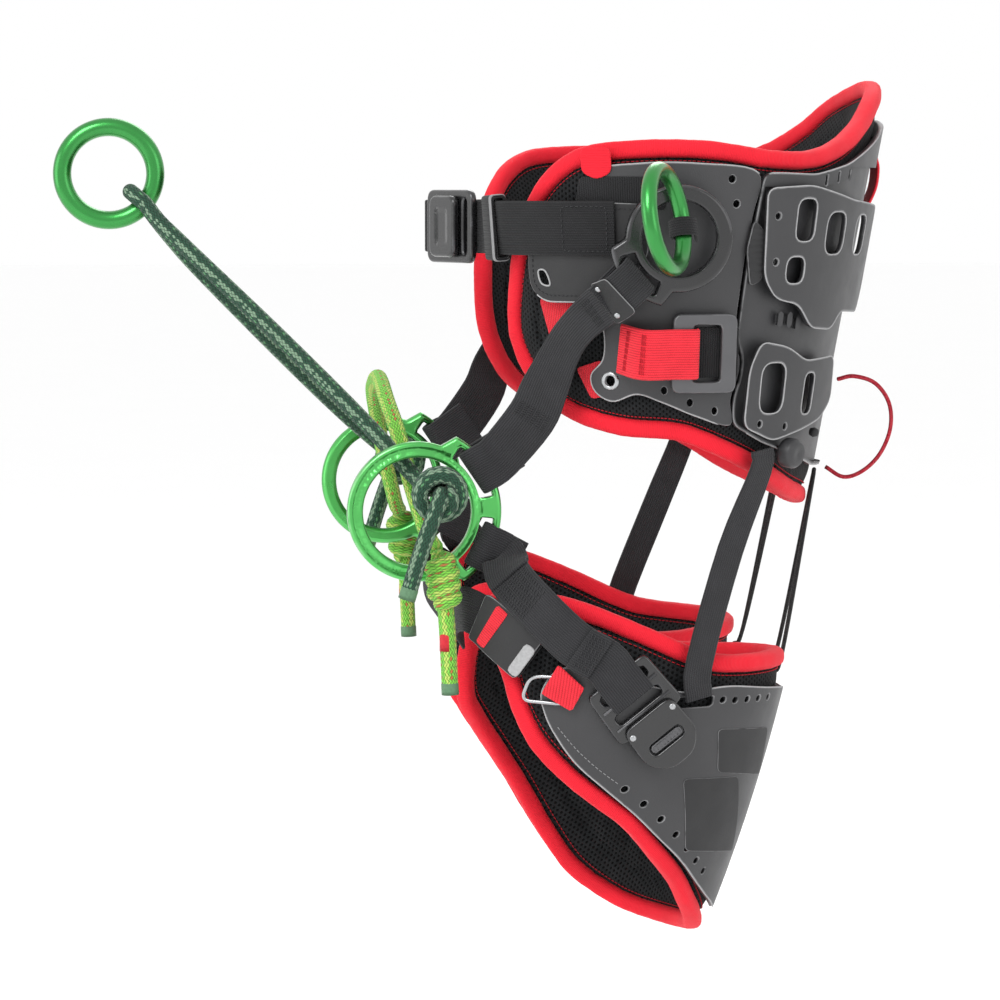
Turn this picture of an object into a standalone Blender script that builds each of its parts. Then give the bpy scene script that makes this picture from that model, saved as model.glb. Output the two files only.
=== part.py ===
"""Tree climbing saddle: padded waist belt, two leg loops, webbing, rings and a rope bridge.

Metres, +Z up.  -Y is the wearer's front, +X the wearer's left, the origin the centre of the waist opening.
"""
from math import cos, pi, radians, sin

import bmesh
import bpy
from mathutils import Vector

# ---- driving dimensions ------------------------------------------------------------------------------
GAP = 0.0008                    # free space between pieces that lie on each other
LAYER_GAP = 0.0015              # the same between plates that wrap, whose folds cut across the curve
SIDES = ((1, "left"), (-1, "right"))

BELT_CENTRE_Y = -0.025          # the belt is an oval funnel round this line
BELT_HALF_WIDTH = 0.176
BELT_HALF_DEPTH = 0.1355
BELT_WIDTH_TAPER = 0.10         # growth of each half axis per metre of height
BELT_DEPTH_TAPER = 0.187
BELT_ARC = 0.0029               # length of one degree of turn on the belt

LEG_CENTRE_X = 0.095            # each leg loop is an oval tube that leans forward as it goes down
LEG_TOP = -0.238
LEG_HALF_WIDTH = 0.085
LEG_HALF_DEPTH = 0.118
LEG_WIDTH_TAPER = 0.05
LEG_DEPTH_TAPER = 0.06
LEG_BACK_Y = 0.056
LEG_LEAN = 0.22
LEG_CURVE = 0.50
LEG_ARC = 0.00175               # length of one degree of turn on a leg loop

PAD_THICKNESS = 0.012
BINDING_RADIUS = 0.006
BINDING_INSET = 0.0074          # from the binding's centre line to the pad's edge
SHELL_THICKNESS = 0.003
TURN_STEP = 12                  # degrees between the folds of a plate wrapped round the belt

WEB_THICKNESS = 0.0024
NARROW_WEB = 0.020
ROPE_RADIUS = 0.0055
TAIL_RADIUS = 0.0058
ELASTIC_RADIUS = 0.0015

BRIDGE_RING = dict(bore=0.0360, outer=0.0465, far=0.0560, thickness=0.0095)
BRIDGE_RING_PLACE = (0.130, -0.197, -0.135)
LATERAL_RING = dict(bore=0.0245, outer=0.0350, far=0.0450, thickness=0.009)
LATERAL_TURN = 93.0
LATERAL_OUT = 0.0170
LATERAL_AIM = 222
BRIDGE_AIM = 3
BRIDGE_SLOT = 31
SLOT_WALL = 0.0060              # between a ring's bore and its webbing slots
SLOT_BAR = 0.0050               # outside the slots
LOOP_RADIUS = 0.0078            # of webbing round a bar
LOOP_SHIFT = 0.0012             # its centre is this far inside the bar's, because the bar is curved
LOOP_LEAD = 0.012
LOOP_TAIL = 0.024
LATERAL_HEIGHT = 0.046
ACCESSORY_RING_RADIUS = 0.0315
ACCESSORY_WIRE = 0.0052
ACCESSORY_WEB = 0.012
ACCESSORY_WEB_SLACK = 0.0016
ADJUSTER_OUT = 0.0100
ADJUSTER_WEB = 0.033
RING_WEB = 0.032                # width of the webbing at the bridge rings
LEG_WEB = 0.031
WIRE_RADIUS = 0.0013
LEG_FOLD = 15                   # degrees between the folds of a plate wrapped round a leg loop
LEG_BAND = 0.045                # height between its level folds
CENTRE_RING_PLACE = (0.0, -0.397, 0.088)
CENTRE_RING_RADIUS = 0.0318
CENTRE_WIRE = 0.0063


# ---- curves ------------------------------------------------------------------------------------------
def smooth(points, steps, closed=False):
    """Points on the Catmull-Rom curve through the given points, with so many steps on each span."""
    points = [Vector(point) for point in points]
    count = len(points)
    spans = count if closed else count - 1
    result = []
    for index in range(spans):
        if closed:
            before, start, end, after = (points[(index + k) % count] for k in (-1, 0, 1, 2))
        else:
            start, end = points[index], points[index + 1]
            before = points[index - 1] if index else start * 2 - end
            after = points[index + 2] if index + 2 < count else end * 2 - start
        for step in range(steps):
            t = step / steps
            result.append(0.5 * (2 * start + (end - before) * t
                                 + (2 * before - 5 * start + 4 * end - after) * t ** 2
                                 + (3 * start - before - 3 * end + after) * t ** 3))
    if not closed:
        result.append(points[-1])
    return result


def rounded(corners, radius, steps=3):
    """A closed outline whose corners are rounded."""
    corners = [Vector(corner) for corner in corners]
    result = []
    for index, corner in enumerate(corners):
        back = corners[index - 1] - corner
        ahead = corners[(index + 1) % len(corners)] - corner
        reach = min(radius, 0.45 * back.length, 0.45 * ahead.length)
        start = corner + back.normalized() * reach
        end = corner + ahead.normalized() * reach
        for step in range(steps + 1):
            t = step / steps
            result.append(start * (1 - t) ** 2 + corner * (2 * t * (1 - t)) + end * t ** 2)
    return result


def circle(centre, radius, count=16):
    """A closed round outline."""
    centre = Vector(centre)
    return [centre + Vector((cos(2 * pi * k / count), sin(2 * pi * k / count))) * radius
            for k in range(count)]


def arc(radius, start, end, count):
    """Points on an arc round the origin, from one angle to another in degrees."""
    return [Vector((cos(radians(start + (end - start) * k / count)),
                    sin(radians(start + (end - start) * k / count)))) * radius for k in range(count + 1)]


def inset(outline, distance):
    """The closed outline moved inwards.  The outline runs anticlockwise."""
    result = []
    for index, point in enumerate(outline):
        along = outline[(index + 1) % len(outline)] - outline[index - 1]
        inward = Vector((-along.y, along.x)).normalized()
        result.append(point + inward * distance)
    return result


# ---- surfaces: each takes a place on its sheet and a distance out of it --------------------------------
def belt_surface(across, height, out):
    """A place on the belt.  Across is 0 at the wearer's back and positive towards the left side."""
    angle = across / BELT_ARC * pi / 180
    half_width = BELT_HALF_WIDTH + BELT_WIDTH_TAPER * height + out
    half_depth = BELT_HALF_DEPTH + BELT_DEPTH_TAPER * height + out
    return Vector((half_width * sin(angle), BELT_CENTRE_Y + half_depth * cos(angle), height))


def leg_surface(across, height, out):
    """A place on the left leg loop.  Across is 0 at the back and positive towards the outer side."""
    angle = across / LEG_ARC * pi / 180
    drop = LEG_TOP - height
    half_width = LEG_HALF_WIDTH - LEG_WIDTH_TAPER * drop + out
    half_depth = LEG_HALF_DEPTH - LEG_DEPTH_TAPER * drop
    back = LEG_BACK_Y - LEG_LEAN * drop - LEG_CURVE * drop ** 2
    y = back - half_depth + (half_depth + out) * cos(angle)
    return Vector((LEG_CENTRE_X + half_width * sin(angle), y, height))


def flat_surface(origin, along, across):
    """A flat sheet through the origin point, square to both directions' cross product."""
    origin = Vector(origin)
    along = Vector(along).normalized()
    normal = along.cross(Vector(across)).normalized()
    across = normal.cross(along)
    return lambda a, b, out: origin + along * a + across * b + normal * out


def on_side(surface, side):
    """The surface itself, or its mirror image on the wearer's right."""
    def place(a, b, out):
        point = surface(a, b, out)
        return Vector((side * point.x, point.y, point.z))
    return place


def on_belt(places):
    """Belt places given as degrees of turn and metres of height."""
    return [Vector((turn * BELT_ARC, height)) for turn, height in places]


def on_leg(places):
    """Leg loop places given as degrees of turn and metres of height."""
    return [Vector((turn * LEG_ARC, height)) for turn, height in places]


def belt_at(turn, height, out):
    """A point over the belt's left side."""
    return belt_surface(turn * BELT_ARC, height, out)


def leg_at(turn, height, out):
    """A point over the left leg loop."""
    return leg_surface(turn * LEG_ARC, height, out)


def away_from(surface, turn, height):
    """The way a wrapped surface faces at a place."""
    step = 0.001
    point = surface(turn, height, 0)
    across = surface(turn + 1, height, 0) - point
    up = surface(turn, height + step, 0) - point
    normal = across.cross(up).normalized()
    return normal if normal.dot(surface(turn, height, step) - point) > 0 else -normal


def handed(points, side):
    """The points of the left side, or their mirror image."""
    return [Vector((side * point[0], point[1], point[2])) for point in points]


# ---- solids ------------------------------------------------------------------------------------------
def plate(surface, outline, holes=(), inner=0.0, outer=SHELL_THICKNESS, fold=None, band=None):
    """A plate on a surface, cut out along an outline.

    It folds every so far across, by fold, and every so far up, by band.
    """
    flat = bmesh.new()
    for loop in (outline, *holes):
        verts = [flat.verts.new((point[0], point[1], 0)) for point in loop]
        for index, vert in enumerate(verts):
            flat.edges.new((verts[index - 1], vert))
    bmesh.ops.triangle_fill(flat, use_beauty=True, edges=flat.edges[:], normal=(0, 0, 1))
    for axis, pitch in ((0, fold), (1, band)):
        if not pitch:
            continue
        count = int(max(abs(point[axis]) for point in outline) / pitch)
        for index in range(-count, count + 1):
            place, normal = Vector((0, 0, 0)), Vector((0, 0, 0))
            place[axis], normal[axis] = index * pitch, 1
            geometry = flat.verts[:] + flat.edges[:] + flat.faces[:]
            bmesh.ops.bisect_plane(flat, geom=geometry, plane_co=place, plane_no=normal)
    bmesh.ops.remove_doubles(flat, verts=flat.verts[:], dist=0.00005)
    bmesh.ops.triangulate(flat, faces=flat.faces[:])
    solid = bmesh.new()
    low = {vert: solid.verts.new(surface(vert.co.x, vert.co.y, inner)) for vert in flat.verts}
    high = {vert: solid.verts.new(surface(vert.co.x, vert.co.y, outer)) for vert in flat.verts}
    for face in flat.faces:
        solid.faces.new([high[vert] for vert in face.verts])
        solid.faces.new([low[vert] for vert in reversed(face.verts)])
    for edge in flat.edges:
        if len(edge.link_faces) == 1:
            a, b = edge.verts
            solid.faces.new((low[a], low[b], high[b], high[a]))
    flat.free()
    return solid


def ribbon(route, facings, widths, thickness=WEB_THICKNESS):
    """A strap swept along the route, whose flat face looks the way of each facing.

    Widths is one width, or one for each place on the route.
    """
    if not isinstance(widths, list):
        widths = [widths] * len(route)
    solid = bmesh.new()
    rows = []
    for index, point in enumerate(route):
        along = route[min(index + 1, len(route) - 1)] - route[max(index - 1, 0)]
        across = along.cross(facings[index]).normalized()
        up = across.cross(along).normalized()
        corners = ((1, 1), (-1, 1), (-1, -1), (1, -1))
        rows.append([solid.verts.new(point + across * (widths[index] / 2 * a) + up * (thickness / 2 * b))
                     for a, b in corners])
    for low, high in zip(rows, rows[1:]):
        for k in range(4):
            solid.faces.new((low[k], low[k - 1], high[k - 1], high[k]))
    solid.faces.new(rows[0])
    solid.faces.new(list(reversed(rows[-1])))
    return solid


def torus(centre, axis, radius, wire, segments=28, sides=8):
    """A round ring of round wire."""
    centre, axis = Vector(centre), Vector(axis).normalized()
    first = axis.orthogonal().normalized()
    second = axis.cross(first)
    solid = bmesh.new()
    rows = []
    for k in range(segments):
        spoke = first * cos(2 * pi * k / segments) + second * sin(2 * pi * k / segments)
        rows.append([solid.verts.new(centre + spoke * (radius + wire * cos(2 * pi * j / sides))
                                     + axis * (wire * sin(2 * pi * j / sides))) for j in range(sides)])
    for k in range(segments):
        for j in range(sides):
            solid.faces.new((rows[k - 1][j - 1], rows[k][j - 1], rows[k][j], rows[k - 1][j]))
    return solid


def turned(profile, centre, axis, segments=16):
    """A solid of revolution: the profile gives radius and height along the axis, both ends closed."""
    centre, axis = Vector(centre), Vector(axis).normalized()
    first = axis.orthogonal().normalized()
    second = axis.cross(first)
    solid = bmesh.new()
    rows = []
    for radius, height in profile:
        rows.append([solid.verts.new(centre + axis * height + (first * cos(2 * pi * k / segments)
                                     + second * sin(2 * pi * k / segments)) * radius)
                     for k in range(segments)])
    for low, high in zip(rows, rows[1:]):
        for k in range(segments):
            solid.faces.new((low[k - 1], low[k], high[k], high[k - 1]))
    solid.faces.new(list(reversed(rows[0])))
    solid.faces.new(rows[-1])
    return solid


# ---- objects -----------------------------------------------------------------------------------------
def clear_scene():
    """Empty the scene."""
    for old in list(bpy.data.objects):
        bpy.data.objects.remove(old, do_unlink=True)


def material(name, colour, roughness, metallic=0.0):
    """A Principled material."""
    new = bpy.data.materials.new(name)
    new.use_nodes = True
    shader = new.node_tree.nodes["Principled BSDF"]
    shader.inputs["Base Color"].default_value = (*colour, 1)
    shader.inputs["Roughness"].default_value = roughness
    shader.inputs["Metallic"].default_value = metallic
    return new


def make_materials():
    """Every material by its short name."""
    return {
        "mesh": material("padding_mesh", (0.02, 0.02, 0.022), 0.95),
        "binding": material("binding_red", (0.72, 0.02, 0.03), 0.7),
        "shell": material("moulded_shell", (0.05, 0.05, 0.055), 0.45),
        "webbing": material("webbing_black", (0.035, 0.035, 0.04), 0.8),
        "red_webbing": material("webbing_red", (0.75, 0.03, 0.04), 0.7),
        "green": material("anodised_green", (0.05, 0.42, 0.08), 0.3, 1.0),
        "dark_metal": material("anodised_black", (0.04, 0.04, 0.05), 0.35, 1.0),
        "grey_metal": material("steel_grey", (0.28, 0.29, 0.30), 0.4, 1.0),
        "rope_dark": material("rope_dark_green", (0.03, 0.12, 0.05), 0.8),
        "rope_light": material("rope_lime", (0.25, 0.62, 0.10), 0.8),
        "cord": material("cord_black", (0.02, 0.02, 0.02), 0.7),
        "cord_red": material("cord_red", (0.6, 0.01, 0.03), 0.7),
    }


def add(name, solid, look, pivot=(0, 0, 0)):
    """Make the solid an object whose own origin is at the pivot."""
    bmesh.ops.recalc_face_normals(solid, faces=solid.faces[:])
    bmesh.ops.triangulate(solid, faces=[face for face in solid.faces if len(face.verts) > 4])
    bmesh.ops.translate(solid, verts=solid.verts[:], vec=-Vector(pivot))
    mesh = bpy.data.meshes.new(name)
    solid.to_mesh(mesh)
    solid.free()
    mesh.materials.append(look)
    thing = bpy.data.objects.new(name, mesh)
    thing.location = pivot
    bpy.context.collection.objects.link(thing)
    mesh.shade_smooth()
    mesh.set_sharp_from_angle(angle=radians(30))
    return thing


def add_tube(name, route, radius, look, closed=False, swell=None, resolution=2):
    """A round cord along the route.  Swell gives each point's thickness as a share of the radius."""
    curve = bpy.data.curves.new(name, "CURVE")
    curve.dimensions = "3D"
    curve.bevel_depth = radius
    curve.bevel_resolution = resolution
    curve.resolution_u = 1
    curve.render_resolution_u = 0
    curve.use_fill_caps = not closed
    spline = curve.splines.new("POLY")
    spline.points.add(len(route) - 1)
    for index, point in enumerate(route):
        spline.points[index].co = (*point, 1)
        spline.points[index].radius = swell[index] if swell else 1.0
    spline.use_cyclic_u = closed
    curve.materials.append(look)
    thing = bpy.data.objects.new(name, curve)
    bpy.context.collection.objects.link(thing)
    return thing


# ---- the belt ----------------------------------------------------------------------------------------
def belt_outline():
    """The centre line of the belt's binding, anticlockwise on the sheet."""
    half = [(0, -0.136), (38, -0.125), (62, -0.105), (78, -0.091), (92, -0.081), (110, -0.078),
            (127, -0.067), (138, -0.046), (143, -0.018), (140, 0.018), (135, 0.050), (127, 0.080),
            (117, 0.098), (104, 0.103), (86, 0.103), (68, 0.097), (54, 0.097), (42, 0.105),
            (30, 0.120), (18, 0.138), (0, 0.147)]
    left = half[1:-1]
    right = [(-turn, height) for turn, height in reversed(left)]
    return smooth(on_belt([half[0], *left, half[-1], *right]), 2, closed=True)


def make_belt_padding(looks):
    """The wrap-around pad and the red binding round its edge."""
    outline = belt_outline()
    edge = inset(outline, BINDING_INSET)
    pad = plate(belt_surface, edge, inner=-PAD_THICKNESS, outer=0, fold=TURN_STEP * BELT_ARC)
    add("belt_pad", pad, looks["mesh"])
    route = [belt_surface(point.x, point.y, -PAD_THICKNESS / 2) for point in outline]
    add_tube("belt_binding", route, BINDING_RADIUS, looks["binding"], closed=True, resolution=1)


HIP_SHELL = [(113, 0.088), (116, 0.060), (118, 0.025), (113, -0.008), (113, -0.032), (117, -0.044),
             (116, -0.055), (111, -0.061), (104, -0.056), (97, -0.061), (86, -0.071), (75.6, -0.077),
             (76.1, -0.060), (74.1, -0.044), (74.1, -0.032), (76.1, -0.020), (74.8, 0.030),
             (73.3, 0.060), (72.6, 0.088), (88, 0.094), (102, 0.094)]
BACK_SHELL_EDGE = [(66, 0.088), (71, 0.088), (74, 0.030), (75.5, -0.020), (73.5, -0.032),
                   (73.5, -0.044), (75.5, -0.060), (75, -0.077), (64, -0.089), (50, -0.099),
                   (34, -0.109)]
BACK_SHELL_TOP = [(0, 0.126), (16, 0.120), (30, 0.106), (42, 0.094), (55, 0.087)]
UPPER_CARRIER = [(71, 0.078), (70, 0.020), (66, 0.006), (58, 0.002), (52, -0.014), (42, -0.016),
                 (38, -0.004), (22, -0.006), (18, 0.010), (20, 0.066), (40, 0.070), (58, 0.080)]
UPPER_SLOTS = [(58.6, 0.0573, 0.0185, 0.0285), (46.8, 0.0484, 0.0240, 0.0285),
               (33.0, 0.0470, 0.0220, 0.0270), (60.5, 0.0245, 0.0180, 0.0180)]  # turn, height, width, length
LOWER_CARRIER = [(69, -0.022), (72, -0.040), (72.5, -0.078), (62, -0.088), (50, -0.082), (40, -0.076),
                 (34, -0.064), (37, -0.034), (52, -0.036), (60, -0.026)]
LOWER_SLOTS = [(63.8, -0.0530, 0.0250, 0.0340), (49.0, -0.0580, 0.0140, 0.0280)]
SHELL_OUT = LAYER_GAP
BACK_SHELL_OUT = SHELL_OUT + SHELL_THICKNESS + 0.0012
CARRIER_OUT = BACK_SHELL_OUT + LAYER_GAP


def make_shells(looks):
    """The moulded shells that spread the load over the pad, and the gear carriers on them."""
    fold = TURN_STEP * BELT_ARC
    for side, word in SIDES:
        surface = on_side(belt_surface, side)
        grommet = circle((111.5 * BELT_ARC, -0.0475), 0.0035, 10)
        shell = plate(surface, smooth(on_belt(HIP_SHELL), 2, closed=True), [grommet], SHELL_OUT,
                      SHELL_OUT + SHELL_THICKNESS, fold)
        add(f"hip_shell_{word}", shell, looks["shell"])
        for name, outline, slots in (("upper", UPPER_CARRIER, UPPER_SLOTS),
                                     ("lower", LOWER_CARRIER, LOWER_SLOTS)):
            holes = [slot_outline(*slot) for slot in slots]
            carrier = plate(surface, rounded(on_belt(outline), 0.007, 1), holes, CARRIER_OUT,
                            CARRIER_OUT + 0.004, fold)
            add(f"{name}_gear_carrier_{word}", carrier, looks["shell"])
    left = BACK_SHELL_TOP + BACK_SHELL_EDGE
    right = [(-turn, height) for turn, height in reversed(left) if turn > 0.5]
    outline = rounded(on_belt(left + [(0, -0.114)] + right), 0.007, 1)
    add("back_shell", plate(belt_surface, outline, (), SHELL_OUT, BACK_SHELL_OUT, fold), looks["shell"])


def slot_outline(turn, height, width, length):
    """A rounded upright slot on the belt, its width and length in metres."""
    centre = Vector((turn * BELT_ARC, height))
    corners = [centre + Vector((a * width / 2, b * length / 2))
               for a, b in ((1, 1), (-1, 1), (-1, -1), (1, -1))]
    return rounded(corners, width * 0.4, 1)


# ---- the waist closure -------------------------------------------------------------------------------
WING = [(100, 0.068), (122, 0.070), (130, 0.050), (132, 0.030), (132, 0.012), (128, 0.004), (112, 0.004),
        (106, 0.014), (100, 0.034)]
HALF_MOON = [(129, 0.024), (128.5, 0.016), (126, 0.015), (127, 0.024)]
WING_OUT = SHELL_OUT + SHELL_THICKNESS + GAP
WING_THICKNESS = 0.0026
WAIST_STRAP_HEIGHT = 0.052
WAIST_WEB = 0.036
BUCKLE_PLACE = (0.025, -0.160, WAIST_STRAP_HEIGHT)      # it sits left of the middle and faces a little left
BUCKLE_LOW = WEB_THICKNESS / 2 + GAP
BUCKLE_FRAME = 0.0046
TONGUE_LOW = BUCKLE_LOW + BUCKLE_FRAME + GAP
TONGUE_THICKNESS = 0.0050
LEFT_FRONT = [(0.1080, -0.1460), (0.0840, -0.1440)]
RIGHT_FRONT = [(-0.0940, -0.1560), (-0.0500, -0.1690)]


def make_front(looks):
    """The front wing panels, waist straps, buckle and strap keeper."""
    strap_out = WING_OUT + WING_THICKNESS + GAP + WEB_THICKNESS / 2 + 0.0006
    sheet = waist_face()
    for side, word in SIDES:
        surface = on_side(belt_surface, side)
        hole = smooth(on_belt(HALF_MOON), 2, closed=True)
        wing = plate(surface, rounded(on_belt(WING), 0.008, 2), [hole], WING_OUT,
                     WING_OUT + WING_THICKNESS, TURN_STEP * BELT_ARC)
        add(f"wing_panel_{word}", wing, looks["webbing"])
        turns = (108, 114, 120, 126, 132, 138)
        places = [belt_at(turn, WAIST_STRAP_HEIGHT, strap_out) for turn in turns]
        facings = [away_from(belt_at, turn, WAIST_STRAP_HEIGHT) for turn in turns]
        places, facings = handed(places, side), handed(facings, side)
        front = LEFT_FRONT if side > 0 else RIGHT_FRONT
        ends = (0.040, 0.030, 0.010) if side > 0 else (-0.042, -0.032, -0.012)
        places += [Vector((*place, WAIST_STRAP_HEIGHT)) for place in front]
        places += [sheet(end, 0, 0) for end in ends]
        facings += [Vector((0.2 * side, -1, 0)), Vector((0, -1, 0))] + [sheet(0, 0, 1) - sheet(0, 0, 0)] * 3
        body = strap(places, facings, WAIST_WEB, 2)
        add(f"waist_strap_{word}", body, looks["webbing"])
        if side > 0:
            make_keeper(places[5], places[6], facings[5] + facings[6], looks)
    make_waist_buckle(looks)


def waist_face():
    """The waist buckle's own sheet: first way towards the wearer's left."""
    return flat_surface(BUCKLE_PLACE, (0.915, 0.403, 0), (0, 0, 1))


def make_waist_buckle(looks):
    """A flat two-part buckle at the wearer's front."""
    face = waist_face()
    frame = rounded([(-0.030, -0.025), (0.032, -0.025), (0.032, 0.025), (-0.030, 0.025)], 0.008)
    slots = [rounded([(a, -0.019), (a + 0.005, -0.019), (a + 0.005, 0.019), (a, 0.019)], 0.002, 2)
             for a in (0.020, -0.024)]
    buckle = plate(face, frame, slots, BUCKLE_LOW, BUCKLE_LOW + BUCKLE_FRAME)
    add("waist_buckle_frame", buckle, looks["dark_metal"])
    tongue = rounded([(-0.017, -0.021), (0.017, -0.021), (0.017, 0.021), (-0.017, 0.021)], 0.007)
    add("waist_buckle_tongue", plate(face, tongue, (), TONGUE_LOW, TONGUE_LOW + TONGUE_THICKNESS),
        looks["dark_metal"], pivot=face(-0.017, 0, TONGUE_LOW))


def make_keeper(back, front, facing, looks):
    """The elastic band that holds the left waist strap's free end, round a span of the strap."""
    along = (front - back).normalized()
    width = along.cross(facing).normalized()
    sheet = flat_surface(back.lerp(front, 0.5), width, width.cross(along))
    reach = WAIST_WEB / 2 + 0.0035
    outer = rounded([(-reach, -0.0052), (reach, -0.0052), (reach, 0.0052), (-reach, 0.0052)], 0.002, 1)
    slot = [(point.x * (reach - 0.0018) / reach, point.y * 0.66) for point in outer]
    add("strap_keeper", plate(sheet, outer, [slot], -0.0095, 0.0095), looks["webbing"])


# ---- rings -------------------------------------------------------------------------------------------
def ring_plate(size, surface, aim, spread, slots, reach):
    """A flat ring with webbing slots behind its far arc.

    Aim is the angle of the far arc's middle and spread its half angle.  Each slot is at its own angle
    from the aim and reaches so many degrees either way.
    """
    body = arc(size["outer"], aim + spread + 8, aim - spread + 352, 18)
    far = arc(size["far"], aim - spread, aim + spread, 10)
    bore = circle((0, 0), size["bore"], 18)
    low, high = slot_radii(size)
    holes = [arc(high, aim + middle - reach, aim + middle + reach, 4)
             + arc(low, aim + middle + reach, aim + middle - reach, 4) for middle in slots]
    half = size["thickness"] / 2
    return plate(surface, body + far, [bore, *holes], -half, half)


def slot_radii(size):
    """The inner and outer radius of a ring's webbing slots."""
    return size["bore"] + SLOT_WALL, size["far"] - SLOT_BAR


def ring_bar(size, surface, angle):
    """The middle of the bar that webbing is looped round, the way the strap leaves it, and outwards."""
    reach = size["far"] - SLOT_BAR / 2 - LOOP_SHIFT
    centre = surface(0, 0, 0)
    bar = surface(cos(radians(angle)) * reach, sin(radians(angle)) * reach, 0)
    return bar, (bar - centre).normalized(), (surface(0, 0, 1) - centre).normalized()


def bridge_face():
    """The left bridge ring's own sheet."""
    return flat_surface(BRIDGE_RING_PLACE, (0, 1, 0), (0, 0, 1))


def lateral_face():
    """The left lateral ring's own sheet."""
    place = belt_at(LATERAL_TURN, LATERAL_HEIGHT, LATERAL_OUT)
    return flat_surface(place, (0, 1, 0), (0.10, 0, 1))


def make_rings(looks):
    """Bridge rings, lateral rings, accessory rings and the centre ring."""
    for side, word in SIDES:
        face = on_side(bridge_face(), side)
        ring = ring_plate(BRIDGE_RING, face, BRIDGE_AIM, 59, (BRIDGE_SLOT, -BRIDGE_SLOT), 22.5)
        add(f"bridge_ring_{word}", ring, looks["green"], pivot=face(0, 0, 0))
        face = on_side(lateral_face(), side)
        ring = ring_plate(LATERAL_RING, face, LATERAL_AIM, 34, (0,), 25)
        bar = ring_bar(LATERAL_RING, face, LATERAL_AIM)[0]
        add(f"lateral_ring_{word}", ring, looks["dark_metal"], pivot=bar)
        make_accessory(side, word, looks)
    add("centre_ring", torus(CENTRE_RING_PLACE, (1, 0, 0), CENTRE_RING_RADIUS, CENTRE_WIRE, 28),
        looks["green"], pivot=CENTRE_RING_PLACE)


def make_accessory(side, word, looks):
    """A green ring that stands out from the belt on its webbing loop."""
    root = belt_at(LATERAL_TURN, LATERAL_HEIGHT, LATERAL_OUT)
    centre = root + Vector((0.0448, -0.0154, 0.0127))
    axis = Vector((0.454, 0.869, 0.156)).normalized()
    spoke = root + Vector((0.009, -0.006, 0.004)) - centre
    spoke = (spoke - axis * spoke.dot(axis)).normalized()
    limb = centre + spoke * ACCESSORY_RING_RADIUS
    turn_radius = ACCESSORY_WIRE + ACCESSORY_WEB_SLACK + WEB_THICKNESS / 2
    loop = [limb - (spoke * cos(radians(a)) + axis * sin(radians(a))) * turn_radius
            for a in range(-110, 111, 20)]
    root_low = limb + spoke * 0.0175
    loop = [root_low + axis * 0.0024, *loop, root_low - axis * 0.0024]
    facings = handed([point - limb for point in loop], side)
    mirrored = [Vector((side * part.x, part.y, part.z)) for part in (centre, axis, limb)]
    ring = torus(mirrored[0], mirrored[1], ACCESSORY_RING_RADIUS, ACCESSORY_WIRE, 24)
    add(f"accessory_ring_{word}", ring, looks["green"], pivot=mirrored[2])
    add(f"accessory_loop_{word}", ribbon(handed(loop, side), facings, ACCESSORY_WEB), looks["webbing"])


# ---- webbing between the belt and the bridge rings -----------------------------------------------------
def loop_round(bar, toward, outward, start, end, steps=6):
    """Places on a webbing loop round a bar, with the way each faces.

    Angle 0 points from the bar towards the strap and 90 outwards.
    """
    spokes = [toward * cos(radians(start + (end - start) * k / steps))
              + outward * sin(radians(start + (end - start) * k / steps)) for k in range(steps + 1)]
    return [bar + spoke * LOOP_RADIUS for spoke in spokes], spokes


def strap(route, facings, width, steps=3):
    """A ribbon through a few chosen places, each with the way its face looks."""
    return ribbon(smooth(route, steps), smooth(facings, steps), width)


def looped_strap(start, middle, end):
    """A strap whose ends go round bars and come back behind it.

    Start and end are what ring_bar gives with the strap's width there, or None.  The middle is a list of
    places, facings and widths.
    """
    places, facings, widths = [list(part) for part in zip(*middle)]
    for spot, first in ((start, True), (end, False)):
        if not spot:
            continue
        bar, toward, outward, width = spot
        loop, spokes = loop_round(bar, toward, outward, -90, -270)
        lead = bar + toward * LOOP_LEAD + outward * LOOP_RADIUS
        tail = bar + toward * LOOP_TAIL - outward * (WEB_THICKNESS / 2)
        route = [tail, *loop, lead]
        faces = [-outward, *spokes, outward]
        sizes = [width] * len(route)
        if first:
            places, facings, widths = route + places, faces + facings, sizes + widths
        else:
            places, facings, widths = places + route[::-1], facings + faces[::-1], widths + sizes
    return places, facings, widths


HIP_MIDDLE = [(112, 0.001, 0.0195), (118, -0.012, 0.0160), (123, -0.027, 0.0140)]    # turn, height, out
HIP_LOWER = [(0.1555, -0.1150, -0.0520), (0.1480, -0.1230, -0.0720)]
HIP_WIDTHS = [0.028, 0.026, 0.028, 0.032, 0.033]


def make_hip_straps(looks):
    """Hip straps from the lateral rings to the bridge rings, and the red size adjusters behind them."""
    start = (*ring_bar(LATERAL_RING, lateral_face(), LATERAL_AIM), HIP_WIDTHS[0])
    end = (*ring_bar(BRIDGE_RING, bridge_face(), BRIDGE_AIM + BRIDGE_SLOT), RING_WEB)
    places = [belt_at(*place) for place in HIP_MIDDLE] + [Vector(place) for place in HIP_LOWER]
    facings = [away_from(belt_at, turn, height) for turn, height, out in HIP_MIDDLE]
    facings += [Vector((0.92, -0.3, 0.2)), Vector((0.97, -0.15, 0.1))]
    for side, word in SIDES:
        route, facing_route, widths = looped_strap(start, zip(places, facings, HIP_WIDTHS), end)
        body = ribbon(handed(route, side), handed(facing_route, side), widths)
        add(f"hip_strap_{word}", body, looks["webbing"])
        make_adjuster(side, word, looks)


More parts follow.
